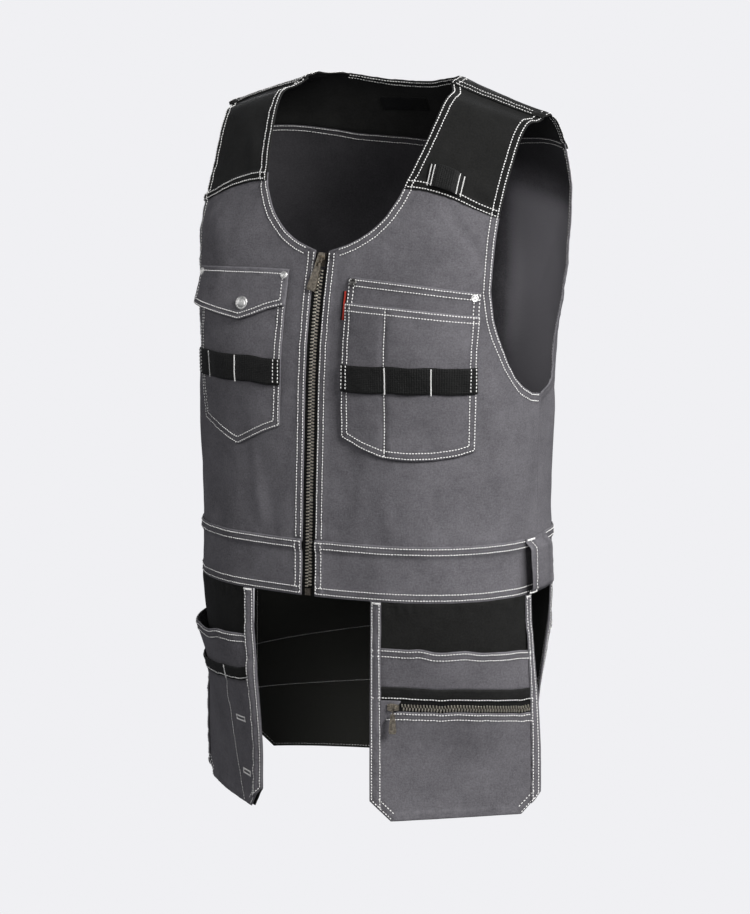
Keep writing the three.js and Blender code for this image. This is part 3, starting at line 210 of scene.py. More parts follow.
def on_ring(r, angle):
    c, s = np.cos(angle), np.sin(angle)
    x = r["half"] * s
    depth = np.where(c >= 0, -r["front"] * (1 + r["fsq"] * s * s), -r["back"] * (1 + r["bsq"] * s * s))
    z = -mix(r["bdrop"], r["fdrop"], ease(-0.25, 0.25, c)) - r["slope"] * ridge_drop(x)
    return np.stack([x, depth * c + r["shift"], z], -1)


STEPS, ROW_STEP = 120, 2.0
_downs = np.arange(0, BODY_LENGTH + 1, ROW_STEP)
_r = {k: np.asarray(v)[:, None] for k, v in ring(_downs).items()}
_p = on_ring(_r, np.linspace(0, math.pi, STEPS + 1)[None, :])
_runs = np.hypot(*np.moveaxis(np.diff(_p, axis=1)[..., :2], -1, 0))
ARCS = np.concatenate([np.zeros((len(_downs), 1)), np.cumsum(_runs, axis=1)], axis=1)


def arc_rows(down):
    kf = np.clip(down / ROW_STEP, 0, len(_downs) - 1.0001)
    k = kf.astype(int)
    return ARCS[k] * (1 - (kf - k))[:, None] + ARCS[k + 1] * (kf - k)[:, None]


def quarter(down):
    down = np.asarray(down, float)
    return arc_rows(np.atleast_1d(down).ravel())[:, STEPS // 2].reshape(down.shape)


def back_quarter(down):
    down = np.asarray(down, float)
    rows = arc_rows(np.atleast_1d(down).ravel())
    return (rows[:, -1] - rows[:, STEPS // 2]).reshape(down.shape)


CHUNK = 20000


def bare(s, v):
    """Points of the bare form at pattern points, a chunk at a time to save memory."""
    s, v = np.broadcast_arrays(np.asarray(s, float), np.asarray(v, float))
    shape, s, v = s.shape, s.ravel(), v.ravel()
    out = np.empty((len(s), 3))
    for a in range(0, len(s), CHUNK):
        ss, vv = s[a:a + CHUNK], v[a:a + CHUNK]
        down = np.abs(vv)
        arc = arc_rows(down)
        total = arc[:, -1]
        length = np.clip(np.where(vv < 0, total - np.abs(ss), np.abs(ss)), 0, total)
        i = np.clip((arc <= length[:, None]).sum(1) - 1, 0, STEPS - 1)
        n = np.arange(len(ss))
        angle = math.pi * (i + (length - arc[n, i]) / np.maximum(arc[n, i + 1] - arc[n, i], 1e-9)) / STEPS
        p = on_ring(ring(down), angle)
        p[:, 0] *= np.where(ss < 0, -1, 1)
        out[a:a + CHUNK] = p
    return out.reshape(shape + (3,))


def unit(v):
    return v / np.maximum(np.linalg.norm(v, axis=-1, keepdims=True), 1e-12)


def normal_of(surface, s, v, step=1.5):
    along = surface(s + step, v) - surface(s - step, v)
    downward = surface(s, v + step) - surface(s, v - step)
    return unit(np.cross(downward, along))


def bumps(table, s, v):
    height = 0
    for face, across, down, lean, long, wide, high in table:
        lean = math.radians(lean)
        ds, dd = s - across * HALF_WIDTH, np.abs(v) - down * BODY_LENGTH
        along = dd * math.cos(lean) + ds * math.sin(lean)
        side = ds * math.cos(lean) - dd * math.sin(lean)
        here = np.where((v < 0) == (face < 0), 1, 0)
        height = height + here * high * np.exp(-(along / long) ** 2 - (side / wide) ** 2)
    return height


_hash = np.random.default_rng(11).random((256, 256)) * 2 - 1


def noise(x, y, seed=0):
    x, y = np.asarray(x, float) + 17.3 * seed, np.asarray(y, float) - 9.1 * seed
    i, j = np.floor(x).astype(int), np.floor(y).astype(int)
    fx, fy = x - i, y - j
    fx, fy = fx * fx * (3 - 2 * fx), fy * fy * (3 - 2 * fy)
    g = lambda a, b: _hash[a & 255, b & 255]
    return mix(mix(g(i, j), g(i + 1, j), fx), mix(g(i, j + 1), g(i + 1, j + 1), fx), fy)


def drape(s, v):
    """Height of the body's cloth over the bare form: the solids' folds and finer creases."""
    at = np.abs(v) / BODY_LENGTH
    fade = ease(0.1, 0.2, at) * (1 - ease(0.86, 0.93, at))
    side = np.where(v < 0, back_quarter(np.abs(v)), quarter(np.abs(v)))
    calm = 1 - ease(side - 45, side - 4, np.abs(s))
    fine = bumps(CREASES, s, v) * ease(0.03, 0.1, at) * (1 - ease(0.87, 0.905, at))
    soft = 1.9 * noise(s / 52, v / 74, 1) + 0.75 * noise(s / 21, v / 30, 2) + 0.22 * noise(s / 9, v / 12, 4)
    soft = soft * np.where(v > 0, ease(12, 46, np.abs(s)), 1)
    return bumps(FOLDS, s, v) * fade * calm + (1.7 * fine + soft) * calm


def on_body(s, v, h=0.0):
    """A point at a height over the inside face of the main cloth."""
    s, v, h = np.broadcast_arrays(np.asarray(s, float), np.asarray(v, float), np.asarray(h, float))
    return bare(s, v) + normal_of(bare, s, v) * (h + drape(s, v))[..., None]


# Meshes.
def new_object(name, points, faces, material, smooth=True):
    mesh = bpy.data.meshes.new(name)
    points = np.asarray(points, float) * MM
    mesh.from_pydata(points.tolist(), [], [list(f) for f in faces])
    mesh.materials.append(material)
    mesh.polygons.foreach_set("use_smooth", [smooth] * len(mesh.polygons))
    obj = bpy.data.objects.new(name, mesh)
    bpy.context.scene.collection.objects.link(obj)
    mesh.update()
    return obj


def near(s, v, line):
    """Distance to a line of pattern points, and the length along it."""
    line = np.asarray(line, float)
    best = np.full(s.shape, 1e9)
    along = np.zeros(s.shape)
    start = 0.0
    for a, b in zip(line[:-1], line[1:]):
        d = b - a
        size = math.hypot(*d)
        if size < 1e-6:
            continue
        t = np.clip(((s - a[0]) * d[0] + (v - a[1]) * d[1]) / size ** 2, 0, 1)
        away = np.hypot(s - a[0] - t * d[0], v - a[1] - t * d[1])
        along = np.where(away < best, start + t * size, along)
        best = np.minimum(best, away)
        start += size
    return best, along


class Relief:
    """Height, wear and painted shade that hems and stitched seams give to a cloth near them."""

    def __init__(self):
        self.hems, self.rows, self.seed = [], [], 3

    def hem(self, line, width=11, raise_=0.7):
        self.hems.append((line, width, raise_))
        return self

    def row(self, line, depth=0.55, pull=0.45):
        self.rows.append((line, depth, pull))
        return self

    def __call__(self, s, v):
        height, edge = np.zeros(s.shape), np.zeros(s.shape)
        for k, (line, width, rise) in enumerate(self.hems):
            away, along = near(s, v, line)
            height += rise * (1 - ease(width - 1.2, width + 1.6, away))
            height -= 0.5 * np.exp(-(away / 0.9) ** 2)
            pucker = noise(along / 4.6, away / 9, 20 + k) + 0.6 * noise(along / 9.5, away / 14, 30 + k)
            height += 0.55 * pucker * np.exp(-((away - width * 0.6) / (width * 0.75)) ** 2)
            edge = np.maximum(edge, np.exp(-(away / 1.6) ** 2))
            edge = np.maximum(edge, 0.4 * np.exp(-((away - width) / 1.6) ** 2))
        for k, (line, depth, pull) in enumerate(self.rows):
            away, along = near(s, v, line)
            height -= 0.4 * depth * np.exp(-(away / 1.8) ** 2)
            height += pull * noise(along / 5.2, away / 10, 40 + k) * np.exp(-(away / 7.5) ** 2)
            # painted shade along a stitch row: the edge value falls below zero there, which darkens the
            # cloth's colour in the groove
            edge = edge - (0.75 if depth > 0 else 0.0) * np.exp(-(away / 2.3) ** 2)
        return height, edge

UNDER_SHARE = 0.35  # how much of the relief shows on a sheet's inner face
SHEET_LEAST = 0.011  # least side of a sheet laid flat, in metres


def outer_face(base, relief=None, thick=CLOTH):
    """Height of a sheet's outer face as a function of the pattern point."""
    return lambda s, v: base(s, v) + thick + (relief(s, v)[0] if relief else 0)


def inner_face(base, relief):
    return lambda s, v: base(s, v) + UNDER_SHARE * relief(s, v)[0]


def chosen(test, first, second):
    """Height of the first face where the test holds, and of the second elsewhere."""
    return lambda s, v: np.where(test(s, v), first(s, v), second(s, v))


def closed_sheet(outer, inner, thick):
    """Points and faces of a closed sheet between two grids, and the grid points along its rim."""
    R, C = outer.shape[:2]
    ids = np.arange(R * C).reshape(R, C)
    rim = np.concatenate([ids[0, :], ids[1:, -1], ids[-1, -2::-1], ids[-2:0:-1, 0]])
    inward = np.concatenate([ids[1, :], ids[1:, -2], ids[-2, -2::-1], ids[-2:0:-1, 1]])
    inward[0], inward[C - 1] = ids[1, 1], ids[1, -2]
    inward[C + R - 2], inward[2 * C + R - 3] = ids[-2, -2], ids[-2, 1]
    flat, flat_in = outer.reshape(-1, 3), inner.reshape(-1, 3)
    middle = (flat[rim] + flat_in[rim]) / 2 + unit(flat[rim] - flat[inward]) * thick * 0.35
    points = np.concatenate([flat, flat_in, middle])
    a, b, c, d = ids[:-1, :-1].ravel(), ids[:-1, 1:].ravel(), ids[1:, 1:].ravel(), ids[1:, :-1].ravel()
    k = np.arange(len(rim))
    after = (k + 1) % len(rim)
    m, nxt = 2 * R * C + k, 2 * R * C + after
    faces = np.concatenate([
        np.stack([a, d, c, b], 1), np.stack([a, b, c, d], 1) + R * C,
        np.stack([rim, rim[after], nxt, m], 1), np.stack([rim + R * C, m, nxt, rim[after] + R * C], 1)])
    # the outer face looks away from the inner one
    cell = faces[len(a) // 2]
    p = points[cell]
    if np.cross(p[1] - p[0], p[2] - p[0]) @ (p[0] - points[cell[0] + R * C]) < 0:
        faces = faces[:, ::-1]
    return points, faces, rim


def flat_size(q):
    """Sides and area in metres of a sheet laid flat, measured over its grid of points."""
    cells = np.linalg.norm(np.cross(q[1:, 1:] - q[:-1, :-1], q[1:, :-1] - q[:-1, 1:]), axis=-1)
    wide, tall = (max(float(np.linalg.norm(np.diff(q, axis=k), axis=-1).sum(k).max()) * MM, SHEET_LEAST)
                  for k in (1, 0))
    return (wide, tall), float(min(max(0.5 * cells.sum() * 1e-6, 0.31 * wide * tall), wide * tall))


def belong(obj, node):
    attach(obj, "vest")
    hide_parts(node)


def cloth(name, node, s, v, place, base, relief, look, thick=CLOTH, under=None, shade=None):
    """A closed cloth sheet over the pattern grid s, v (rows down, columns across).

    The look is a material and its slot. Returns the height of the outer face."""
    h, edge = relief(s, v) if relief else (np.zeros(s.shape), np.zeros(s.shape))
    outer = place(s, v, base(s, v) + thick + h)
    inner = place(s, v, under(s, v) if under else base(s, v) + UNDER_SHARE * h)
    points, faces, rim = closed_sheet(outer, inner, thick)
    obj = new_object(name, points, faces, look[0])
    uv = np.stack([s.ravel(), v.ravel()], 1) * MM
    layer = obj.data.uv_layers.new(name="UVMap")
    loops = np.empty(len(obj.data.loops), int)
    obj.data.loops.foreach_get("vertex_index", loops)
    layer.data.foreach_set("uv", np.concatenate([uv, uv + 0.0003, uv[rim]])[loops].ravel())
    edge = edge.ravel()
    # painted light levels: edge holds hem wear and the painted shade of stitch rows; inside is 0 on the outer
    # face, 0.3 on the rim and the shade value (else 1) on the inner face, where above zero paints shade and
    # below zero paints light
    shaded = shade(s, v).ravel() if shade else np.ones(s.size)
    for key, values in (("edge", [edge, 0.6 * edge, edge[rim]]),
                        ("inside", [np.zeros(s.size), shaded, np.full(len(rim), 0.3)])):
        wear_and_painted_light = obj.data.attributes.new(key, "FLOAT", "POINT")
        wear_and_painted_light.data.foreach_set("value", np.concatenate(values))
    belong(obj, node)
    flat, area = flat_size(outer)
    return outer_face(base, relief, thick)


def spans(*parts):
    """Numbers along several stretches, each given by its two ends and a count."""
    return np.concatenate([np.linspace(*part) for part in parts])
def spread(total, dense, step, coarse):
    """Distances from 0 to total, close together near both ends."""
    near_end = list(np.arange(0, dense, step))
    if total < 2.2 * dense:
        return np.linspace(0, total, max(2, int(total / step)) + 1)
    count = max(1, int(round((total - 2 * near_end[-1] - 2 * step) / coarse)))
    middle = np.linspace(near_end[-1] + step, total - near_end[-1] - step, count + 1)
    return np.array(near_end + list(middle) + [total - d for d in reversed(near_end)])


def grid(rows_v, edges, dense=12, step=1.8, coarse=5.0):
    """Pattern grid: edges(v) gives the two side edges; columns keep their distance from both."""
    lo, hi = edges(rows_v)
    width = float(np.max(hi - lo))
    marks = spread(width, dense, step, coarse)
    share = marks / width
    near_lo = marks < dense
    near_hi = marks > width - dense
    s = np.empty((len(rows_v), len(marks)))
    for i in range(len(rows_v)):
        w = hi[i] - lo[i]
        if w > 2.4 * dense:
            inner_lo, inner_hi = marks[near_lo][-1], width - marks[near_hi][0]
            mid = (marks - inner_lo) / (width - inner_lo - inner_hi)
            row = lo[i] + inner_lo + mid * (w - inner_lo - inner_hi)
            row[near_lo] = lo[i] + marks[near_lo]
            row[near_hi] = hi[i] - (width - marks[near_hi])
        else:
            row = lo[i] + share * w
        s[i] = row
    return s, rows_v[:, None] * np.ones_like(s)
# Stitching: short raised threads laid along lines.
STITCHES = {}


def thread_rows(group, centres, tangents, normals, length, wide=0.62, high=0.5):
    lengths = np.broadcast_to(length, (len(centres),))
    STITCHES.setdefault(group, []).append((centres, tangents, normals, lengths, wide, high))


def sew(group, line, place, height, pitch=3.4, length=2.6, lift=0.3, seed=0, wide=0.72):
    """Stitches along a line of pattern points on a cloth whose outer face is at height(s, v)."""
    line = np.asarray(line, float)
    size = np.hypot(*np.diff(line, axis=0).T)
    total = np.concatenate([[0], np.cumsum(size)])
    t = np.arange(0, total[-1], 0.8)
    s, v = np.interp(t, total, line[:, 0]), np.interp(t, total, line[:, 1])
    h = height(s, v)
    p = place(s, v, h + lift)
    n = unit(place(s, v, h + lift + 1.0) - p)
    run = np.concatenate([[0], np.cumsum(np.linalg.norm(np.diff(p, axis=0), axis=1))])
    count = int((run[-1] - length) / pitch)
    if count < 1:
        return
    at = length / 2 + 0.2 + np.arange(count) * (run[-1] - length - 0.4) / max(count - 1, 1)
    rng = np.random.default_rng(int(abs(line[0, 0]) * 7 + abs(line[-1, 1]) * 13 + seed) % 100000)
    at = at + rng.uniform(-0.12, 0.12, count)
    pick = lambda a, x: np.stack([np.interp(x, run, a[:, k]) for k in range(3)], 1)
    centre = pick(p, at)
    tangent = unit(pick(p, at + 0.6) - pick(p, at - 0.6))
    normal = unit(pick(n, at))
    side = np.cross(normal, tangent)
    tangent = unit(tangent + side * rng.uniform(-0.05, 0.05, count)[:, None])
    centre = centre + side * rng.uniform(-0.1, 0.1, count)[:, None]
    thread_rows(group, centre, tangent, normal, length * rng.uniform(0.93, 1.05, count), wide=wide)


def bartack(group, a, b, place, height, width=2.6, pitch=0.62):
    """Close crosswise stitches between two pattern points."""
    a, b = np.asarray(a, float), np.asarray(b, float)
    count = max(3, int(math.hypot(*(b - a)) / pitch))
    t = np.linspace(0, 1, count)
    s, v = mix(a[0], b[0], t), mix(a[1], b[1], t)
    h = height(s, v)
    p = place(s, v, h + 0.4)
    n = unit(place(s, v, h + 1.25) - p)
    along = unit(np.gradient(p, axis=0))
    side = unit(np.cross(n, along))
    swing = np.where(np.arange(count) % 2 == 0, 1, -1)[:, None]
    thread_rows(group, p, unit(side + 0.12 * swing * along), n, width, wide=0.42, high=0.6)


def offset(line, distance):
    """The line moved sideways by a distance in (s, v)."""
    line = np.asarray(line, float)
    d = np.gradient(line, axis=0)
    d = d / np.maximum(np.hypot(d[:, 0], d[:, 1])[:, None], 1e-9)
    return line + distance * np.stack([-d[:, 1], d[:, 0]], 1)


def build_stitches(material):
    """Every group of stitches as one object: each thread is a spindle with two rings of points."""
    sides = 6
    angle = np.arange(sides) * 2 * math.pi / sides
    rings = [(x, 0.92 * math.cos(q), 0.92 * math.sin(q)) for x in (-0.36, 0.36) for q in angle]
    local = np.array([(-0.5, 0, 0)] + rings + [(0.5, 0, 0)])
    last = len(local) - 1
    tri = []
    for k in range(sides):
        n = (k + 1) % sides
        tri += [(0, 1 + n, 1 + k), (1 + k, 1 + n, 1 + sides + n), (1 + k, 1 + sides + n, 1 + sides + k),
                (last, 1 + sides + k, 1 + sides + n)]
    tri = np.array(tri)
    for group, rows in STITCHES.items():
        points = []
        for centre, tangent, normal, length, wide, high in rows:
            normal = unit(normal - tangent * (normal * tangent).sum(1, keepdims=True))
            side = np.cross(normal, tangent)
            p = (centre[:, None, :] + tangent[:, None, :] * (local[None, :, :1] * length[:, None, None])
                 + side[:, None, :] * local[None, :, 1:2] * wide
                 + normal[:, None, :] * local[None, :, 2:3] * high)
            points.append(p.reshape(-1, 3))
        points = np.concatenate(points)
        starts = np.arange(len(points) // len(local)) * len(local)
        obj = new_object(group, points, (tri[None] + starts[:, None, None]).reshape(-1, 3), material)
        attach(obj, "vest")


# Materials: woven cloth in pattern coordinates, thread and metal.
class Field:
    """A value worked out by a material's nodes, with the usual arithmetic."""

    def __init__(self, tree, socket):
        self.tree, self.socket = tree, socket

    def math(self, op, other=None):
        node = self.tree.nodes.new("ShaderNodeMath")
        node.operation = op
        plug(self.tree, self, node.inputs[0])
        if other is not None:
            plug(self.tree, other, node.inputs[1])
        return Field(self.tree, node.outputs[0])

    def __add__(self, other):
        return self.math("ADD", other)

    def __sub__(self, other):
        return self.math("SUBTRACT", other)

    def __mul__(self, other):
        return self.math("MULTIPLY", other)

    def clamped(self):
        self.socket.node.use_clamp = True
        return self


def plug(tree, value, socket):
    """Feed a socket from another value, a colour or a number."""
    if isinstance(value, Field):
        tree.links.new(value.socket, socket)
    elif isinstance(value, tuple):
        socket.default_value = (*value, 1)[:len(socket.default_value)]
    else:
        socket.default_value = value


class Look:
    """A material under way, with short forms for the nodes that the looks below share."""

    def __init__(self, name):
        self.material = bpy.data.materials.new(name)
        self.material.use_nodes = True
        self.tree = self.material.node_tree
        self.shader = self.tree.nodes["Principled BSDF"]

    def add(self, kind, output, **values):
        node = self.tree.nodes.new(kind)
        for key, value in values.items():
            if hasattr(node, key):
                setattr(node, key, value)
            else:
                plug(self.tree, value, node.inputs[key])
        return Field(self.tree, node.outputs[output])

    def noise(self, vector, scale, detail=2.0, rough=0.6):
        return self.add("ShaderNodeTexNoise", "Fac", Vector=vector, Scale=scale, Detail=detail,
                        Roughness=rough)

    def scaled(self, vector, *scale):
        return self.add("ShaderNodeMapping", "Vector", Vector=vector, Scale=scale)

    def blend(self, fac, a, b):
        node = self.tree.nodes.new("ShaderNodeMix")
        node.data_type = "RGBA"
        for socket, x in ((node.inputs[0], fac), (node.inputs[6], a), (node.inputs[7], b)):
            plug(self.tree, x, socket)
        return Field(self.tree, node.outputs[2])

    def in_mm(self):
        return self.scaled(self.add("ShaderNodeTexCoord", "Object"), 1000, 1000, 1000)

    def shade(self, color, roughness, bump, strength, distance, **more):
        normal = self.add("ShaderNodeBump", 0, Strength=strength, Distance=distance, Height=bump)
        inputs = {"Base Color": color, "Roughness": roughness, "Normal": normal}
        inputs.update({key.replace("_", " "): value for key, value in more.items()})
        for key, value in inputs.items():
            plug(self.tree, value, self.shader.inputs[key])
        return self.material


YARN = 0.62


def woven(name, dark, light, worn, rough=0.88, relief=0.35, ribs=None, patch=0.6, stripe=None, painted_inner_light=0.0,
          under=None):
    """Twill or ribbed cloth. Sizes are in mm on the pattern; ribs are their direction and spacing. Inner faces
    are mixed by the inside attribute toward a painted light level: the under colour if given, else a painted
    shade of the dark colour; below zero, toward a painted lighter tone.
    """
    n = Look(name)
    mm = n.scaled(n.add("ShaderNodeUVMap", "UV", uv_map="UVMap"), 1000, 1000, 1.0)
    u, v = (n.add("ShaderNodeSeparateXYZ", k, Vector=mm) for k in (0, 1))

    def wave_of(field, spacing):
        return (field * (2 * math.pi / spacing)).math("SINE")
    if ribs is None:
        weave = wave_of(u + v * 1.3, YARN * 1.9) * 0.55 + wave_of(u, YARN) * wave_of(v, YARN) * 0.45
    else:
        over, along = (v, u) if ribs[0] == "v" else (u, v)
        weave = wave_of(over, ribs[1]) * 0.7 + wave_of(along, ribs[1] * 0.8) * 0.35
    fuzz = n.noise(mm, 1.1, 3.0, 0.65)
    slub = n.noise(n.scaled(mm, 0.12, 1.4, 1.0), 1.0) + n.noise(n.scaled(mm, 1.4, 0.12, 1.0), 1.0)
    cloud = n.noise(mm, 0.022, 3.0, 0.55)
    small = n.noise(mm, 0.11, 3.0)
    grain = n.noise(mm, 0.42, 2.0, 0.7)
    tone = (fuzz - 0.5) * 0.75
    for field, share in ((slub * 0.5, 0.7), (cloud, patch), (small, 0.4), (grain, 0.9)):
        tone = tone + (field - 0.5) * share
    base = n.blend((tone + weave * 0.11 + 0.5).clamped(), dark, light)
    edge, inside = (n.add("ShaderNodeAttribute", "Fac", attribute_name=key) for key in ("edge", "inside"))
    rubbed = (edge * (small * 1.3 - 0.25)).clamped()
    painted_groove_shade = (edge * -0.62 * (grain * 0.9 + 0.45)).clamped()
    if stripe:
        middle, half, color = stripe
        base = n.blend((((u - middle).math("ABSOLUTE") - half) * -4.0).clamped(), base, color)
    # rubbed wear lightens the cloth at hems; painted shade darkens it along stitch rows, where the edge value
    # is below zero
    base = n.blend(painted_groove_shade, n.blend(rubbed, base, worn), tuple(0.25 * c for c in dark))
    # painted shade of the inner face, toward a dark shade of the cloth or toward the under tone when one is
    # given
    base = n.blend((inside * painted_inner_light).clamped(), base, under or tuple(0.2 * c for c in dark))
    # painted light: where the inside value is below zero, the colour is lifted toward a lighter tone
    base = n.blend((inside * -1.0).clamped(), base, tuple(min(1.0, 2.2 * c) for c in light))
    height = weave * 0.5 + fuzz + (small * 2.2 + grain * 2.2)
    return n.shade(base, (fuzz * 0.12 + (rough - 0.06)).clamped(), height, relief, 0.0004,
                   Specular_IOR_Level=0.16, Sheen_Weight=0.03, Sheen_Roughness=0.45,
                   Sheen_Tint=(0.9, 0.92, 1.0))


def thread(name, a, b):
    n = Look(name)
    at = n.in_mm()
    twist, slow = n.noise(at, 1.6), n.noise(at, 0.05)
    color = n.blend((twist * 0.7 + slow * 0.5).clamped(), a, b)
    return n.shade(color, twist * 0.25 + 0.55, twist, 0.5, 0.0002, Sheen_Weight=0.1)


def metal(name, bright, dull, stain, rough=0.36, scale=0.5, amount=0.6):
    n = Look(name)
    at = n.in_mm()
    spots, fine = n.noise(at, scale, 4.0, 0.65), n.noise(at, scale * 6, 3.0)
    base = n.blend(((spots - 0.3) * 2.0).clamped(), bright, dull)
    mask = ((spots * 0.6 + fine * 0.5 - 0.5) * (4.0 * amount)).clamped()
    return n.shade(n.blend(mask, base, stain), (fine * 0.26 + (rough - 0.08)).clamped(), fine, 0.22, 0.0003,
                   Metallic=1.0)


# Looks: a material and its slot. Linear colours: dark, light and worn, or bright, dull and stained.
SOOT = (0.0048, 0.0048, 0.0044), (0.0180, 0.0180, 0.0172), (0.028, 0.028, 0.028)
INK = (0.003, 0.003, 0.003), (0.010, 0.010, 0.010), (0.015, 0.015, 0.015)
# the grey canvas's inner faces get painted shade
GREY = woven("grey_canvas", (0.061, 0.058, 0.064), (0.185, 0.178, 0.192), (0.215, 0.21, 0.225),
             painted_inner_light=0.8), "grey"
BLACK = woven("black_canvas", *SOOT, relief=0.4, patch=0.7), "black"
# the holster lining's inner face is painted the lighter under tone in place of its own black, as painted light
LINING = woven("holster_black", *SOOT, relief=0.4, patch=0.7, painted_inner_light=0.9, under=(0.034, 0.034, 0.030)), "black"
WEB = woven("black_webbing", (0.0025, 0.0025, 0.0024), (0.016, 0.016, 0.0155), (0.02, 0.02, 0.02),
            relief=1.0, ribs=("u", 2.6), rough=0.6), "webbing"
TAPE = woven("zip_tape", *INK, relief=0.6, ribs=("v", 0.9), rough=0.75), "tape"
LABEL = woven("label_weave", (0.002, 0.002, 0.002), (0.007, 0.007, 0.007), (0.012, 0.012, 0.012),
              relief=0.3, ribs=("v", 0.5), rough=0.5), "label"
TAB = woven("tab_weave", *INK, relief=0.4, ribs=("v", 0.6), rough=0.6,
            stripe=(38.9, 1.25, (0.50, 0.045, 0.03))), "tab"
WHITE = thread("white_thread", (0.70, 0.69, 0.67), (0.96, 0.95, 0.93))
BRASS = metal("antique_brass", (0.40, 0.355, 0.29), (0.105, 0.092, 0.075), (0.022, 0.019, 0.016),
              rough=0.30, scale=0.3, amount=0.5)
TOOTH = metal("zip_tooth_brass", (0.80, 0.75, 0.65), (0.48, 0.43, 0.35), (0.08, 0.07, 0.055),
              rough=0.42, amount=0.3), "zip_metal"
NICKEL = metal("nickel", (0.92, 0.91, 0.89), (0.72, 0.71, 0.69), (0.25, 0.24, 0.23),
               rough=0.36, scale=0.35, amount=0.35), "fixing_metal"
DARK = metal("blackened_nickel", (0.16, 0.155, 0.15), (0.07, 0.068, 0.066), (0.30, 0.29, 0.27),
             rough=0.3, scale=0.4, amount=0.3), "fixing_metal"
# Body panels.
def neck_front(v):
    return NECK_HALF * smooth_read(NECK_FRONT, 1, np.asarray(v, float) / NECK_DEPTH_FRONT)


def arm_edge(table, side, v):
    v = np.asarray(v, float)
    start = SHOULDER_HALF * smooth_read(table, 1, v / ARMHOLE_DEPTH)
    edge = mix(start, side(v), np.clip(read(table, 2, v / ARMHOLE_DEPTH), 0, 1))
    return np.minimum(edge, side(v)) - 0.15


def arm_front(v):
    return arm_edge(ARM_FRONT, quarter, v)


def arm_back(v):
    return arm_edge(ARM_BACK, back_quarter, v)


def yoke_front_line(s):
    return YOKE_FRONT * smooth_read(YOKE_FRONT_LINE, 1, np.abs(s) / SHOULDER_HALF)


def yoke_back_line(s):
    return YOKE_BACK * smooth_read(YOKE_BACK_LINE, 1, np.abs(s) / SHOULDER_HALF)


def warp(s, v):
    return v + (yoke_front_line(s) - YOKE_FRONT) * np.clip(1 - np.abs(v - YOKE_FRONT) / SEAM_BLEND, 0, 1)


def line_of(f, low, high, count=60):
    v = np.linspace(low, high, count)
    s = f(v)
    return np.stack([s, warp(s, v)], 1)


def mirrored(line, side):
    line = np.array(line, float)
    line[:, 0] *= side
    return line


ZERO = lambda s, v: np.zeros(np.shape(s))
LAP, ARM_FOOT = 9.5, 0.983 * ARMHOLE_DEPTH  # lap of the yokes, and where the armhole's round bottom starts
# Distances of the two stitch rows from a bound edge, a lapped seam and the waistband's seams.
EDGE_ROWS, SEAM_ROWS, BAND_ROWS = (2.2, 9.0), (1.4, 8.2), (2.6, 9.4)
SIDES = ((1, "left"), (-1, "right"))
NECK = line_of(neck_front, SHOULDER_SEAM, NECK_DEPTH_FRONT)
ARM_F = line_of(arm_front, SHOULDER_SEAM, ARM_FOOT, 90)
FRONT_LINE = np.array([[FRONT_EDGE, NECK_DEPTH_FRONT], [FRONT_EDGE, BODY_LENGTH]], float)
s_yoke = np.linspace(float(neck_front(YOKE_FRONT)) - 4, float(arm_front(YOKE_FRONT)) + 3, 40)
YOKE_F = np.stack([s_yoke, yoke_front_line(s_yoke)], 1)
YOKE_EDGE = YOKE_F + [0, LAP]


def edge_rows(relief, d, side):
    relief.row(mirrored(offset(NECK, -d), side), 0.45, 0.0)
    relief.row(mirrored(offset(ARM_F, d), side), 0.45, 0.0)


def front_relief(side):
    r = Relief().hem(mirrored(NECK, side)).hem(mirrored(ARM_F, side)).hem(mirrored(FRONT_LINE, side), 11, 0.5)
    for d in EDGE_ROWS:
        edge_rows(r, d, side)
        r.row(mirrored(FRONT_LINE + [d - 0.6, 0], side), 0.4, 0.12)
    return Both(r, seam_pucker([[9, 586], [400, 586]], side), seam_pucker(YOKE_F + [0, LAP + 2], side, 0.6))


def yoke_relief(side):
    r = Relief().hem(mirrored(NECK[:45], side)).hem(mirrored(ARM_F[:45], side))
    r.hem(mirrored(YOKE_EDGE, side), 9, 0.2)
    for d in EDGE_ROWS:
        edge_rows(r, d, side)
    for d in SEAM_ROWS:
        r.row(mirrored(YOKE_EDGE - [0, d], side), 0.5, 0.15)
    return Both(r, seam_pucker([[80, 26], [240, 26]], side, 0.5))


def seam_pucker(line, side=1, amount=0.8):
    return Relief().row(mirrored(line, side), 0.0, amount)


class Both:
    """Several reliefs on one cloth."""

    def __init__(self, *parts):
        self.parts = parts

    def __call__(self, s, v):
        got = [p(s, v) for p in self.parts]
        return sum(g[0] for g in got), np.clip(sum(g[1] for g in got), -1, 1)


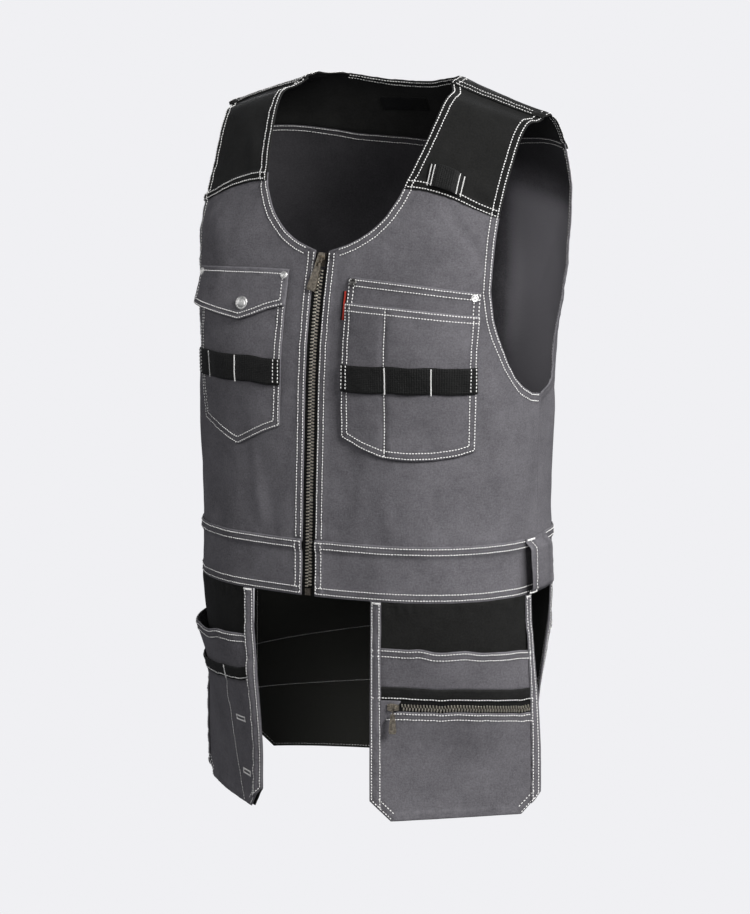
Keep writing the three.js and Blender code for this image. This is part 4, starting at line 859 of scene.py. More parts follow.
front_lap = lambda s, v: LAYER_STEP * ease(-4, 1.5, v - yoke_front_line(s))
for side, label in SIDES:
    rows = spans((165.3, 176, 5), (178, 252, 30), (255, 376, 30), (379, 410, 16), (412, 424, 13),
                 (428, 572, 30), (575, 588.8, 7))
    s, v = grid(rows, lambda v: (np.maximum(neck_front(v), FRONT_EDGE), arm_front(v)))
    panel_top = cloth("panel_front_" + label, "front_panel_" + label, side * s, warp(s, v), on_body, ZERO,
                      front_relief(side), GREY)
    # yoke, lapped over the panel below it
    rows = spans((20.2, 26, 4), (30, 150, 30), (154, YOKE_FRONT + LAP, 13))
    s, v = grid(rows, lambda v: (neck_front(v), arm_front(v)))
    yoke_top = cloth("yoke_front_" + label, "front_yoke_" + label, side * s, warp(s, v), on_body, front_lap,
                     yoke_relief(side), BLACK)
    chest_top = chosen(lambda s, v: v < yoke_front_line(s) + LAP, yoke_top, panel_top)
    group = "stitches_front_" + label
    for k, d in enumerate(EDGE_ROWS):
        line = offset(NECK, -d)
        line = line[(line[:, 0] > FRONT_EDGE + d - 0.6) & (line[:, 1] > 20)]
        front = [[FRONT_EDGE + d - 0.6, NECK_DEPTH_FRONT + 2], [FRONT_EDGE + d - 0.6, BAND_TOP - 4]]
        for path in (line, offset(ARM_F, d), front):
            sew(group, mirrored(path, side), on_body, chest_top, seed=k)
    for d in SEAM_ROWS:
        line = YOKE_EDGE - [0, d]
        inside = (line[:, 0] > neck_front(line[:, 1] - 3) + 1) & (line[:, 0] < arm_front(line[:, 1]) - 1)
        sew(group, mirrored(line[inside], side), on_body, yoke_top)


# Back yoke: round the neck from one shoulder seam to the other, lapped over the front yokes and
# over the back panel.
BACK_CORNER = 1.07 * SHOULDER_HALF
CORNER_DOWN = float(yoke_back_line(BACK_CORNER))
BACK_END = float(arm_back(CORNER_DOWN + LAP))
BACK_SHOULDER, BACK_START = 22.6, YOKE_BACK + 0.6
# turn, neck across and down, armhole side down
STATIONS = np.array([
    [0.00, 1.00, BACK_SHOULDER / NECK_DEPTH_BACK, BACK_SHOULDER / CORNER_DOWN], [0.30, 0.975, -0.02, -0.12],
    [0.55, 0.90, -0.26, -0.36], [0.78, 0.83, -0.44, -0.68], [1.00, 0.76, -0.58, -1.00],
    [1.25, 0.65, -0.72, -1.00], [1.50, 0.48, -0.85, -1.00], [1.75, 0.25, -0.96, -1.00],
    [2.00, 0.00, -1.00, -1.00],
])


def arm_any(v):
    return np.where(v > 0, arm_front(np.maximum(v, 0)), arm_back(np.maximum(-v, 0)))


def back_seam(across):
    return np.stack([across, -(yoke_back_line(across) + LAP)], -1)


def yoke_station(turn):
    """Inner and outer edge of the back yoke, from the shoulder (0) past the corner (1) to the middle (2)."""
    across, back = (smooth_read(STATIONS, column, turn) for column in (1, 2))
    neck = np.stack([across * NECK_HALF, back * NECK_DEPTH_BACK], -1)
    down = read(STATIONS, 3, turn) * CORNER_DOWN
    side_edge = np.stack([arm_any(down), down], -1)
    # the lap below the armhole corner eases in over the last part of the armhole side
    part = ease(0.80, 1.0, turn)[:, None]
    eased = side_edge + (back_seam(np.array([BACK_END])) - side_edge) * part ** 2
    return neck, np.where((turn <= 1)[:, None], eased, back_seam(BACK_END * (2 - np.maximum(turn, 1))))


neck, low = (np.concatenate([edge, (edge * [-1, 1])[-2::-1]])
             for edge in yoke_station(spans((0, 0.06, 4), (0.1, 0.94, 22), (0.97, 2.0, 56))))
marks = spread(100, 12, 2.0, 4.5) / 100
arm_downs = np.linspace(BACK_SHOULDER - 0.6, -CORNER_DOWN - LAP, 50)
arm_side = np.stack([arm_any(arm_downs), arm_downs], 1)
BACK_SEAM = back_seam(np.linspace(-BACK_END, BACK_END, 80))
back_lap = lambda s, v: LAYER_STEP * np.maximum(ease(10, 15.5, v), ease(-4, 1.5, -v - yoke_back_line(s)))
back_relief = Relief().hem(neck).hem(arm_side).hem(mirrored(arm_side, -1)).hem(BACK_SEAM, 9, 0.2)
for side, label in SIDES:
    back_relief.hem([[85 * side, BACK_SHOULDER], [225 * side, BACK_SHOULDER]], 9, 0.15)
for d in EDGE_ROWS:
    back_relief.row(offset(neck, d), 0.45, 0)
    for side, label in SIDES:
        back_relief.row(mirrored(offset(arm_side, -d), side), 0.45, 0)
for d in SEAM_ROWS:
    back_relief.row(BACK_SEAM + [0, d], 0.5, 0.15)
yoke_back_top = cloth("yoke_back", "back_yoke", mix(neck[:, :1], low[:, :1], marks[None]),
                      mix(neck[:, 1:], low[:, 1:], marks[None]), on_body, back_lap, back_relief, BLACK)


def near_seam(v):
    return np.clip(1 - (v - BACK_START) / (2 * SEAM_BLEND), 0, 1)


def back_edges(v):
    edge = arm_back(v + (CORNER_DOWN - YOKE_BACK) * near_seam(v))
    return -edge, edge


s, v = grid(spans((BACK_START, 160, 6), (164, 380, 46), (384, 430, 24), (435, 572, 28), (575, 588.8, 6)),
            back_edges, coarse=5.5)
arm_downs = np.linspace(CORNER_DOWN, ARM_FOOT, 70)
ARM_B = np.stack([arm_back(arm_downs), -arm_downs], 1)
panel_back = Relief().hem(ARM_B).hem(mirrored(ARM_B, -1))
for d in EDGE_ROWS:
    for side, label in SIDES:
        panel_back.row(mirrored(offset(ARM_B, -d), side), 0.45, 0)
panel_back = Both(panel_back, seam_pucker([[-400, -586], [400, -586]]),
                  seam_pucker(BACK_SEAM - [0, 2], 1, 0.6))
back_v = -(v + (yoke_back_line(s) - YOKE_BACK) * near_seam(v))
# painted light on the back panel's inner face: full painted shade over most of it, turning to a painted
# lighter tone low on the wearer's left, seen through the armhole
back_top = cloth("panel_back", "back_panel", s, back_v, on_body, ZERO, panel_back, GREY,
                 shade=lambda s, v: 1 - 1.8 * ease(70, 125, s) * ease(140, 210, -v))

on_yoke = lambda s, v: -v < yoke_back_line(s) + LAP
yoke_back_low = inner_face(back_lap, back_relief)
on_back_top = chosen(on_yoke, yoke_back_top, back_top)
on_back_low = chosen(on_yoke, yoke_back_low, inner_face(ZERO, panel_back))
whole_arm = np.concatenate([arm_side[:-1], ARM_B[ARM_B[:, 1] < arm_side[-1, 1] - 1]])
for d in EDGE_ROWS:
    sew("stitches_back_neck", offset(neck, d), on_body, yoke_back_top, wide=0.45)
    sew("stitches_inside", offset(neck, d)[30:-30], on_body, yoke_back_low, lift=-0.4)
    for side, label in SIDES:
        line = mirrored(offset(whole_arm, -d), side)[5:]
        sew("stitches_back", line[-line[:, 1] < YOKE_BACK], on_body, on_back_top, wide=0.5)
        sew("stitches_inside", line[16:], on_body, on_back_low, lift=-0.4)
for d in SEAM_ROWS:
    line = (BACK_SEAM + [0, d])[2:-2]
    sew("stitches_back", line, on_body, yoke_back_top)
    sew("stitches_inside", line, on_body, lambda s, v: ZERO(s, v) - 0.45, lift=0.0, wide=0.36)
    ridge = [[float(neck_front(20)) + 6, BACK_SHOULDER - d], [float(arm_front(20)) - 14, BACK_SHOULDER - d]]
    for side, wide, lift in ((1, 0.42, 0.3), (-1, 0.24, 0.05)):
        sew("stitches_back_neck", mirrored(ridge, side), on_body, yoke_back_top, wide=wide, lift=lift)


# Waistband pieces, lapped over the panels above them.
BAND_SEAM, BAND_END, BAND_STITCH = 586.4, 330.0, 10.5
QUARTER_HEM = float(quarter(600))
LOOP_BACK, LOOP_WIDE = 28, 40
band_base = lambda s, v: LAYER_STEP * (1 - ease(596, 602, np.abs(v)))
BAND_DOWN = spans((BAND_SEAM, 604, 10), (608, 636, 8), (639, BODY_LENGTH, 7))


def band_relief(lines, low, high, face):
    edge, hem = (np.array([[low, at * face], [high, at * face]]) for at in (BAND_SEAM, float(BODY_LENGTH)))
    r = Relief().hem(edge, 10, 0.1).hem(hem, 10.5, 0.6)
    for d in BAND_ROWS:
        r.row(edge + [0, d * face], 0.5, 0.2)
        r.row(hem - [0, (d + 0.2) * face], 0.45, 0.15)
    for line in lines:
        r.hem(line, 10.5, 0.4)
    return r


for side, label in SIDES:
    s, v = grid(BAND_DOWN, lambda v: (np.full(v.shape, FRONT_EDGE), quarter(v) - 0.15))
    r = band_relief([mirrored(FRONT_LINE, side)], side * 9.0, side * BAND_END, 1)
    # painted shadow under the side loop: close rows of stitch-row shade darken the band where the loop stands
    # off it
    for away in (-2, 1, 4, 8, 12, 16, 20):
        at = side * (QUARTER_HEM - LOOP_BACK + away)
        r.row([[at, 590], [at, 650]], 0.05, 0.0)
    top = cloth("band_front_" + label, "waistband_front_" + label, side * s, v, on_body, band_base, r, GREY)
    start, end = side * BAND_STITCH, side * (QUARTER_HEM - 2)
    for k, d in enumerate(BAND_ROWS):
        first = side * (BAND_STITCH + 6.8 * k)
        sew("stitches_band", [[first, BAND_SEAM + d], [end, BAND_SEAM + d]], on_body, top)
        sew("stitches_band", [[start, BODY_LENGTH - d - 0.2], [end, BODY_LENGTH - d - 0.2]], on_body, top)
        at = side * (FRONT_EDGE + EDGE_ROWS[k] - 0.6)
        sew("stitches_band", [[at, 588], [at, 650 - 7 * k]], on_body, top)
s, v = grid(BAND_DOWN, lambda v: (-back_quarter(v) + 0.15, back_quarter(v) - 0.15))
r = band_relief([], -BAND_END, BAND_END, -1)
top = cloth("band_back", "waistband_back", s, -v, on_body, band_base, r, GREY)
end = float(back_quarter(600)) - 2
for d in BAND_ROWS:
    for at in (-BAND_SEAM - d, -BODY_LENGTH + d + 0.2):
        sew("stitches_band", [[-end, at], [end, at]], on_body, top)
        sew("stitches_inside", [[-end, at], [end, at]], on_body, inner_face(band_base, r), lift=-0.1)


def strip(s0, s1, v0, v1, nv=14, ns=10):
    v, s = np.meshgrid(np.linspace(v0, v1, nv), np.linspace(s0, s1, ns), indexing="ij")
    return s, v


# Side loops: strips standing off the band, with bar stitches at both ends.
LOOP_STATIONS, LOOP_RISE = [0, 0.02, 0.12, 0.5, 0.88, 0.98, 1], [0.1, 0.35, 0.95, 1.05, 0.95, 0.35, 0.1]
LOOP_EDGES = QUARTER_HEM - LOOP_BACK, QUARTER_HEM - LOOP_BACK + LOOP_WIDE


def loop_base(s, v):
    rise = np.interp((v - BAND_TOP - 2) / (BAND_HEIGHT - 3), LOOP_STATIONS, LOOP_RISE)
    return LAYER_STEP + 1.9 + 8.5 * ease(0, 1, rise) + 0.3 * noise(s / 14, v / 20, 61)


for side, label in SIDES:
    share = spans((0, 0.3, 10), (0.34, 0.66, 6), (0.7, 1, 10))
    v = (BAND_TOP - 3 + share * (BODY_LENGTH - 0.5 - BAND_TOP + 3))[:, None] * np.ones((1, 15))
    across = np.concatenate([[0, 0.03, 0.07], np.linspace(0.12, 0.88, 9), [0.93, 0.97, 1]])
    s = quarter(v) - LOOP_BACK + LOOP_WIDE * across[None]
    lo, hi = LOOP_EDGES
    r = Relief()
    for at in (lo, hi):
        r.hem([[side * at, 580], [side * at, 660]], 8, 0.3)
    for at in (lo + 8, hi - 8):
        r.row([[side * at, 580], [side * at, 660]], 0.5, 0.3)
    top = cloth("loop_" + label, "side_loop_" + label, side * s, v, on_body, loop_base, r, GREY)
    sew("stitches_band", [[side * (lo + 8), BAND_TOP - 1], [side * (lo + 8), BODY_LENGTH - 2]], on_body, top)
    for at in (BAND_TOP - 1, BODY_LENGTH - 3):
        bartack("stitches_band", [side * (lo + 1), at], [side * (lo + 13), at], on_body, top)

# Shoulder loop of webbing on the left yoke, and the plain label inside the neck.
SHOULDER_LOOP, LOOP_WIDTH = 0.535 * SHOULDER_HALF, 43.0


def shoulder_base(s, v):
    share = (s - SHOULDER_LOOP) / LOOP_WIDTH
    arch = 7.2 * ease(0.02, 0.30, share) * (1 - ease(0.70, 0.98, share))
    return LAYER_STEP + arch + 0.35 * noise(s / 7, v / 9, 66)


s, t = np.meshgrid(np.linspace(0, 1, 34), np.linspace(0, 1, 12), indexing="xy")
s = SHOULDER_LOOP + LOOP_WIDTH * s
r = Relief()
for at in (SHOULDER_LOOP + 3, SHOULDER_LOOP + 40):
    r.row([[at, 120], [at, 190]], 0.5, 0.1)
v = yoke_front_line(s) + 4 - 25 * (1 - t)
top = cloth("loop_shoulder", "shoulder_loop", s, v, on_body, shoulder_base, r, WEB)
for at in (1.6, 6.4, 36.6, 41.4):
    at = SHOULDER_LOOP + at
    line = float(yoke_front_line(at))
    bartack("stitches_loops", [at, line - 20], [at, line + 3.5], on_body, top, width=1.5, pitch=0.8)

s, v = strip(-52, 10, -(NECK_DEPTH_BACK + 27), -(NECK_DEPTH_BACK + 45), 10, 28)
label_base = lambda s, v: ZERO(s, v) - 1.7 - 0.25 * noise(s / 9, v / 9, 70)
cloth("label", "neck_label", s, v, on_body, label_base, None, LABEL, thick=0.8)


# Chest pockets.
def rounded(share):
    return np.sin(math.pi * np.clip(share, 0, 1))


def puff(share, v):
    return POCKET_PUFF * rounded(share) ** 0.6 * (1 - ease(POCKET_TOP, POCKET_TOP + POCKET_LENGTH, v))


def sag(s, v, k):
    return 0.7 * noise(s / 24, v / 30, k) + 0.35 * noise(s / 11, v / 15, k + 1)


POCKET_ROWS, MOUTH_ROWS = (1.8, 8.2), (2.4, 9.2)


class Pocket:
    """A chest pocket's pattern: share runs from its inner to its outer side, along from top to bottom."""

    def __init__(self, side, width, table):
        self.side, self.width, self.table = side, width, table

    def s(self, share):
        return self.side * (POCKET_INNER + self.width * share)

    def share(self, s):
        return (self.side * s - POCKET_INNER) / self.width

    def v(self, share, along, drop=0):
        top = POCKET_TOP + drop + POCKET_LENGTH * smooth_read(self.table, 1, share)
        bottom = POCKET_TOP + POCKET_LENGTH * read(self.table, 2, share)
        return mix(top, bottom, along)

    def path(self, share, along, drop=0):
        share, along = np.broadcast_arrays(np.asarray(share, float), np.asarray(along, float))
        return np.stack([self.s(share), self.v(share, along, drop)], 1)

    def inset(self, d, drop=0, start=0.0, stop=0.0):
        """Stitch path a distance d inside the edges, from the inner top corner round to the outer."""
        first, final = d / self.width, 1 - d / self.width
        share = np.linspace(first, final, 60)
        low = self.v(share, np.ones(60), drop) - d * 1.06
        top_in = float(self.v(first, 0.0, drop) + start)
        top_out = float(self.v(final, 0.0, drop) + stop)
        return (np.stack([np.full(30, self.s(first)), np.linspace(top_in, low[0], 30)], 1),
                np.stack([self.s(share), low], 1),
                np.stack([np.full(30, self.s(final)), np.linspace(low[-1], top_out, 30)], 1))

    def relief(self, drop=0):
        share, down = np.linspace(0, 1, 60), np.linspace(0, 1, 30)
        r = Relief()
        for path in (self.path(0, down, drop), self.path(share, 1, drop), self.path(1, down[::-1], drop)):
            r.hem(path, 9, 0.2)
        r.hem(self.path(share, 0, drop), 11, 0.6)
        for d in POCKET_ROWS:
            for part in self.inset(d, drop):
                r.row(part, 0.5, 0.25)
        return r

    def sew(self, group, height, drop=0, start=0.0, stop=0.0):
        for d in POCKET_ROWS:
            for part in self.inset(d, drop, start, stop):
                sew(group, part, on_body, height)

    def layer(self, name, node, shares, base, relief, drop=0):
        share, along = np.meshgrid(shares, spans((0, 0.06, 8), (0.08, 0.9, 42), (0.92, 1, 9)), indexing="xy")
        return cloth(name, node, self.s(share), self.v(share, along, drop), on_body, base, relief, GREY)

    def webbing(self, label, group, bars, columns, seed, base):
        """Strip of webbing that stands off in loops between its bar stitches, sewn down at both ends."""
        stops = np.sort([self.s(0.0), *bars, self.s(1.0)])
        s, v = strip(stops[0], stops[-1], WEB_TOP, WEB_TOP + WEBBING_HEIGHT, 12, columns)
        v = v + 1.2 * noise(s / 22, v * 0, seed)
        top = cloth("webbing_" + label, label + "_pocket_webbing", s, v, on_body,
                    lambda s, v: base(s, v, loops(s, stops, 1.7)), None, WEB)
        for at in bars:
            bartack(group, [at, WEB_TOP + 1], [at, WEB_TOP + WEBBING_HEIGHT + 1], on_body, top, width=1.7,
                    pitch=0.8)
        near_end, far = POCKET_ROWS
        for at in (self.s(0.0) + self.side * near_end, self.s(0.0) + self.side * far,
                   self.s(1.0) - self.side * far, self.s(1.0) - self.side * near_end):
            sew(group, [[at, WEB_TOP + 1], [at, WEB_TOP + WEBBING_HEIGHT - 1]], on_body, top)


def loops(s, stops, rise):
    k = np.clip(np.searchsorted(stops, s) - 1, 0, len(stops) - 2)
    return rise * rounded((s - stops[k]) / (stops[k + 1] - stops[k])) ** 0.8


LEFT, RIGHT = Pocket(1, LEFT_POCKET_WIDTH, LEFT_POCKET), Pocket(-1, RIGHT_POCKET_WIDTH, RIGHT_POCKET)
WEB_TOP = POCKET_TOP + WEBBING_DROP
DIVIDER = 97.0
left_puff = lambda s, v: puff(LEFT.share(s), v)
right_puff = lambda s, v: 0.6 * puff(RIGHT.share(s), v)
g = "stitches_pocket_left"
SHARES = spread(LEFT.width, 12, 1.8, 4.6) / LEFT.width
back_base = lambda s, v: LAYER_STEP + left_puff(s, v) + 0.3 * sag(s, v, 80) * rounded(LEFT.share(s))
r = LEFT.relief()
for inner, outer in ((2.4, 9.6), (9.4, 16.8)):
    r.row([[LEFT.s(0.0), POCKET_TOP + inner], [LEFT.s(1.0), POCKET_TOP + outer]], 0.5, 0.2)
back_layer_top = LEFT.layer("pocket_left_back", "left_pocket_back_layer", SHARES, back_base, r)

dent = lambda s: -1.5 * np.exp(-((s - DIVIDER) / 5.0) ** 2)
front_base = lambda s, v: (2 * LAYER_STEP + 2 * left_puff(s, v) + dent(s) * ease(310, 340, v)
                           + 0.6 * sag(s, v, 84) * rounded(LEFT.share(s)))
r = LEFT.relief(FRONT_LAYER_DROP).row([[DIVIDER, 300], [DIVIDER, 490]], 0.6, 0.4)
at_divider = (DIVIDER - POCKET_INNER + np.linspace(-8, 8, 15)) / LEFT.width
away = np.abs(SHARES - (DIVIDER - POCKET_INNER) / LEFT.width) > 0.06
shares = np.sort(np.concatenate([SHARES[away], at_divider]))
front_layer_top = LEFT.layer("pocket_left_front", "left_pocket_front_layer", shares, front_base, r,
                             FRONT_LAYER_DROP)
for d, low in zip(MOUTH_ROWS, (0.012, 0.05)):
    back_row = LEFT.path(np.linspace(low, 0.994, 50), 0) + [0, d]
    front_row = LEFT.path(np.linspace(0.006, 0.994, 50), 0, FRONT_LAYER_DROP) + [0, d - 0.4]
    sew(g, back_row, on_body, back_layer_top)
    sew(g, front_row, on_body, front_layer_top)
LEFT.sew(g, front_layer_top, FRONT_LAYER_DROP, start=1, stop=1)
for d in POCKET_ROWS:
    for share in (d / LEFT.width, 1 - d / LEFT.width):
        at, top_v = LEFT.s(share), float(LEFT.v(share, 0.0))
        sew(g, [[at, top_v + 2.4], [at, top_v + FRONT_LAYER_DROP]], on_body, back_layer_top)
divider_top = LEFT.v(LEFT.share(DIVIDER), 0.0, FRONT_LAYER_DROP) + 1
sew(g, [[DIVIDER, divider_top], [DIVIDER, 483]], on_body, front_layer_top)
LEFT.webbing("left", g, (99.0, 150.0), 90, 91, lambda s, v, rise: (
    3 * LAYER_STEP + 2 * left_puff(s, v) + dent(s) * 0.4 + rise + 0.5 * noise(s / 9, v / 14, 90) - 0.2))

# side tab, plain
s, v = strip(POCKET_INNER - 6.3, POCKET_INNER - 0.3, POCKET_TOP + 16, POCKET_TOP + 48, 16, 6)
tab_base = lambda s, v: LAYER_STEP + 0.2 + 0.5 * noise(s / 8, v / 9, 95)
cloth("side_tab", "pocket_side_tab", s, v, on_body, tab_base, None, TAB, thick=0.9)

# right pocket, flap and webbing
g = "stitches_pocket_right"
right_base = lambda s, v: LAYER_STEP + right_puff(s, v) + 0.5 * sag(s, v, 100) * rounded(RIGHT.share(s))
shares = spread(RIGHT.width, 12, 1.8, 4.6) / RIGHT.width
right_top = RIGHT.layer("pocket_right", "right_pocket", shares, right_base, RIGHT.relief())
RIGHT.sew(g, right_top, start=8, stop=8)
RIGHT.webbing("right", g, (-154.0, -106.0), 80, 106, lambda s, v, rise: (
    2 * LAYER_STEP + right_puff(s, v) + rise + 0.4 * noise(s / 9, v / 14, 105) - 0.1))

FLAP_TOP, FLAP_OUT, FLAP_SHARE = POCKET_TOP - 4, 0.015, 1.05
flap_low = lambda share: FLAP_TOP + FLAP_LENGTH * read(FLAP, 1, share)
flap_s = lambda share: RIGHT.s(share * FLAP_SHARE - FLAP_OUT)


def flap_base(s, v):
    share = (RIGHT.share(s) + FLAP_OUT) / FLAP_SHARE
    t = np.clip((v - POCKET_TOP + 4) / (flap_low(share) - POCKET_TOP + 4), 0, 1)
    lift = FLAP_LIFT * read(FLAP, 2, share) * t ** 1.3
    return 2 * LAYER_STEP + right_puff(s, v) + lift + 0.5 * sag(s, v, 110) * ease(0, 0.3, t)


down = spans((0, 0.2, 7), (0.24, 0.8, 14), (0.83, 1, 8))
sh, al = np.meshgrid(spread(145, 12, 1.7, 4.4) / 145, down, indexing="xy")
q = np.linspace(0, 1, 60)
flap_edge = np.stack([flap_s(q), flap_low(q)], 1)
sides = RIGHT.s(-FLAP_OUT), RIGHT.s(1.035)
flap_r = Relief().hem(flap_edge, 8, 0.25)
for at, end in zip(sides, (0.0, 1.0)):
    flap_r.hem([[at, FLAP_TOP], [at, float(flap_low(end))]], 8, 0.25)
flap_r.hem([[sides[0], FLAP_TOP], [sides[1], FLAP_TOP]], 7, 0.2)
inner_q = np.linspace(0.045, 0.955, 60)
flap_line = np.stack([flap_s(inner_q), flap_low(inner_q) - 7.0], 1)
flap_r.row(flap_line, 0.5, 0.3)
flap_face = cloth("flap", "right_pocket_flap", flap_s(sh), mix(FLAP_TOP, flap_low(sh), al), on_body, flap_base,
                  flap_r, GREY)
sew(g, flap_line, on_body, flap_face)
for x, y in (flap_line[0], flap_line[-1]):
    sew(g, [[x, POCKET_TOP + 2], [x, y]], on_body, flap_face)
sew(g, [[RIGHT.s(0.0), POCKET_TOP + 1.6], [RIGHT.s(1.02), POCKET_TOP + 1.6]], on_body, flap_face)
sew(g, flap_edge[1:-1] + [0, -1.6], on_body, flap_face, pitch=3.6)


# Round fixings.
def lathe(name, node, profile, s, v, face, look, sides=40, tilt=0.0):
    """Turned fixing on a cloth's face: profile of (radius, height) from the middle out and down."""
    outward = normal_of(bare, np.array(s), np.array(v))
    q = math.radians(tilt)
    outward = np.array([outward[0] * math.cos(q) - outward[1] * math.sin(q),
                        outward[0] * math.sin(q) + outward[1] * math.cos(q), outward[2]])
    at = on_body(np.array(s), np.array(v), face(np.array([s]), np.array([v]))[0])
    x = unit(np.cross(np.array([0.0, 0, 1]), outward))
    y = np.cross(outward, x)
    points, faces = [], []
    for r, h in profile:
        for k in range(sides):
            q = 2 * math.pi * k / sides
            points.append(at + (x * math.cos(q) + y * math.sin(q)) * r + outward * h)
    for i in range(len(profile) - 1):
        for k in range(sides):
            n = (k + 1) % sides
            faces.append([i * sides + k, (i + 1) * sides + k, (i + 1) * sides + n, i * sides + n])
    last = (len(profile) - 1) * sides
    faces += [list(range(sides)), [last + k for k in reversed(range(sides))]]
    belong(new_object(name, np.array(points), faces, look[0]), node)


RIVET = [(0.6, 1.25), (1.2, 1.2), (1.7, 0.95), (2.1, 0.9), (2.8, 1.25), (3.5, 1.5), (4.1, 1.35), (4.5, 0.95),
         (4.7, 0.4), (4.7, -0.6)]
SNAP = [(0.8, 2.75), (2.2, 2.7), (3.6, 2.5), (4.9, 2.1), (5.5, 1.75), (5.9, 1.7), (6.4, 1.95), (7.0, 1.9),
        (7.8, 1.3), (8.2, 0.5), (8.2, -2.4)]
snap_v = POCKET_TOP + 0.62 * FLAP_LENGTH
lathe("snap", "pocket_snap", SNAP, float(RIGHT.s(0.41)), snap_v, flap_face, NICKEL, 56, 13)
for side, end, x, y, face, look in (
        ("right", "inner", RIGHT.s(0.02), 3, flap_face, NICKEL),
        ("right", "outer", RIGHT.s(0.965), 3, flap_face, NICKEL),
        ("left", "inner", LEFT.s(0.045), 6, back_layer_top, DARK),
        ("left", "outer", LEFT.s(0.95), 14, back_layer_top, NICKEL)):
    name, node = "rivet_" + side + "_" + end, side + "_rivet_" + end
    lathe(name, node, RIVET, float(x), float(POCKET_TOP + y), face, look)


# Main zip.
TAPE_BACK, TAPE_THICK = -1.7, 0.9
for side, label in SIDES:
    rows = np.concatenate([[254, 262, 270.3], np.linspace(274, 651.5, 80)])
    s = side * mix(np.where(rows[:, None] < 271, 5.8, 4.0), 20.7, np.linspace(0, 1, 9)[None])
    cloth("zip_tape_" + label, "zip_tape_" + label, s, rows[:, None] * np.ones_like(s), on_body,
          lambda s, v: np.full(s.shape, TAPE_BACK), None, TAPE, thick=TAPE_THICK)
def rounded_box(x, y, z, bevel):
    """Corner points of a small box with its edges taken off, and its faces."""
    pts, faces = [], []
    for sx in (-1, 1):
        for sy in (-1, 1):
            for sz in (-1, 1):
                pts += [(sx * x, sy * (y - bevel), sz * (z - bevel)),
                        (sx * (x - bevel), sy * y, sz * (z - bevel)),
                        (sx * (x - bevel), sy * (y - bevel), sz * z)]
    i = lambda sx, sy, sz, k: (((sx > 0) * 2 + (sy > 0)) * 2 + (sz > 0)) * 3 + k
    for sgn in (-1, 1):
        faces.append([i(sgn, -1, -1, 0), i(sgn, 1, -1, 0), i(sgn, 1, 1, 0), i(sgn, -1, 1, 0)][::sgn])
        faces.append([i(-1, sgn, -1, 1), i(-1, sgn, 1, 1), i(1, sgn, 1, 1), i(1, sgn, -1, 1)][::sgn])
        faces.append([i(-1, -1, sgn, 2), i(1, -1, sgn, 2), i(1, 1, sgn, 2), i(-1, 1, sgn, 2)][::sgn])
    for a in (-1, 1):
        for b in (-1, 1):
            f = [i(a, b, -1, 0), i(a, b, 1, 0), i(a, b, 1, 1), i(a, b, -1, 1)]
            faces.append(f if a * b > 0 else f[::-1])
            f = [i(a, -1, b, 0), i(a, 1, b, 0), i(a, 1, b, 2), i(a, -1, b, 2)]
            faces.append(f if a * b < 0 else f[::-1])
            f = [i(-1, a, b, 1), i(1, a, b, 1), i(1, a, b, 2), i(-1, a, b, 2)]
            faces.append(f if a * b > 0 else f[::-1])
            for c in (-1, 1):
                f = [i(a, b, c, 0), i(a, b, c, 1), i(a, b, c, 2)]
                faces.append(f if a * b * c > 0 else f[::-1])
    return np.array(pts, float), faces


def teeth(name, node, centres, along, normal, pitch, out, wide, deep, slant=0.16):
    """Two rows of zip teeth, meshed half a pitch apart, along a centre line."""
    box, faces = rounded_box(wide / 2, deep / 2, pitch * 0.22, 0.22)
    points, all_faces = [], []
    side = unit(np.cross(along, normal))
    for k in range(len(centres)):
        x = side[k] * (1 if k % 2 else -1)
        z = unit(along[k] + x * slant)
        x2 = unit(np.cross(normal[k], z))
        base = len(points)
        points += [centres[k] + x * out + x2 * p[0] + normal[k] * p[1] + z * p[2] for p in box]
        all_faces += [[base + q for q in f] for f in faces]
    belong(new_object(name, np.array(points), all_faces, TOOTH[0], smooth=False), node)


pitch = 1.9
v = np.arange(272.5, 643.0, pitch)
z0 = np.zeros_like(v)
teeth("zip_teeth", "zip_chain", on_body(z0, v, np.full(v.shape, TAPE_BACK + 1.7)),
      unit(bare(z0, v - 2) - bare(z0, v + 2)), normal_of(bare, z0, v), pitch * 2, 2.2, 3.7, 2.5)


# Holsters. Each row: side, face, start across, flatness, distance out, turn in degrees, length.
HANG = {
    "front_left": (1, 1, HOLSTER_FRONT_INNER, 0.92, 12, 0, 1),
    "front_right": (-1, 1, HOLSTER_FRONT_INNER, 0.92, -1, -5, 1.03),
    "rear_left": (1, -1, HOLSTER_REAR_INNER, 0.75, -27, 0, 0.97),
    "rear_right": (-1, -1, HOLSTER_REAR_INNER, 0.5, -6, 0, 0.97),
}


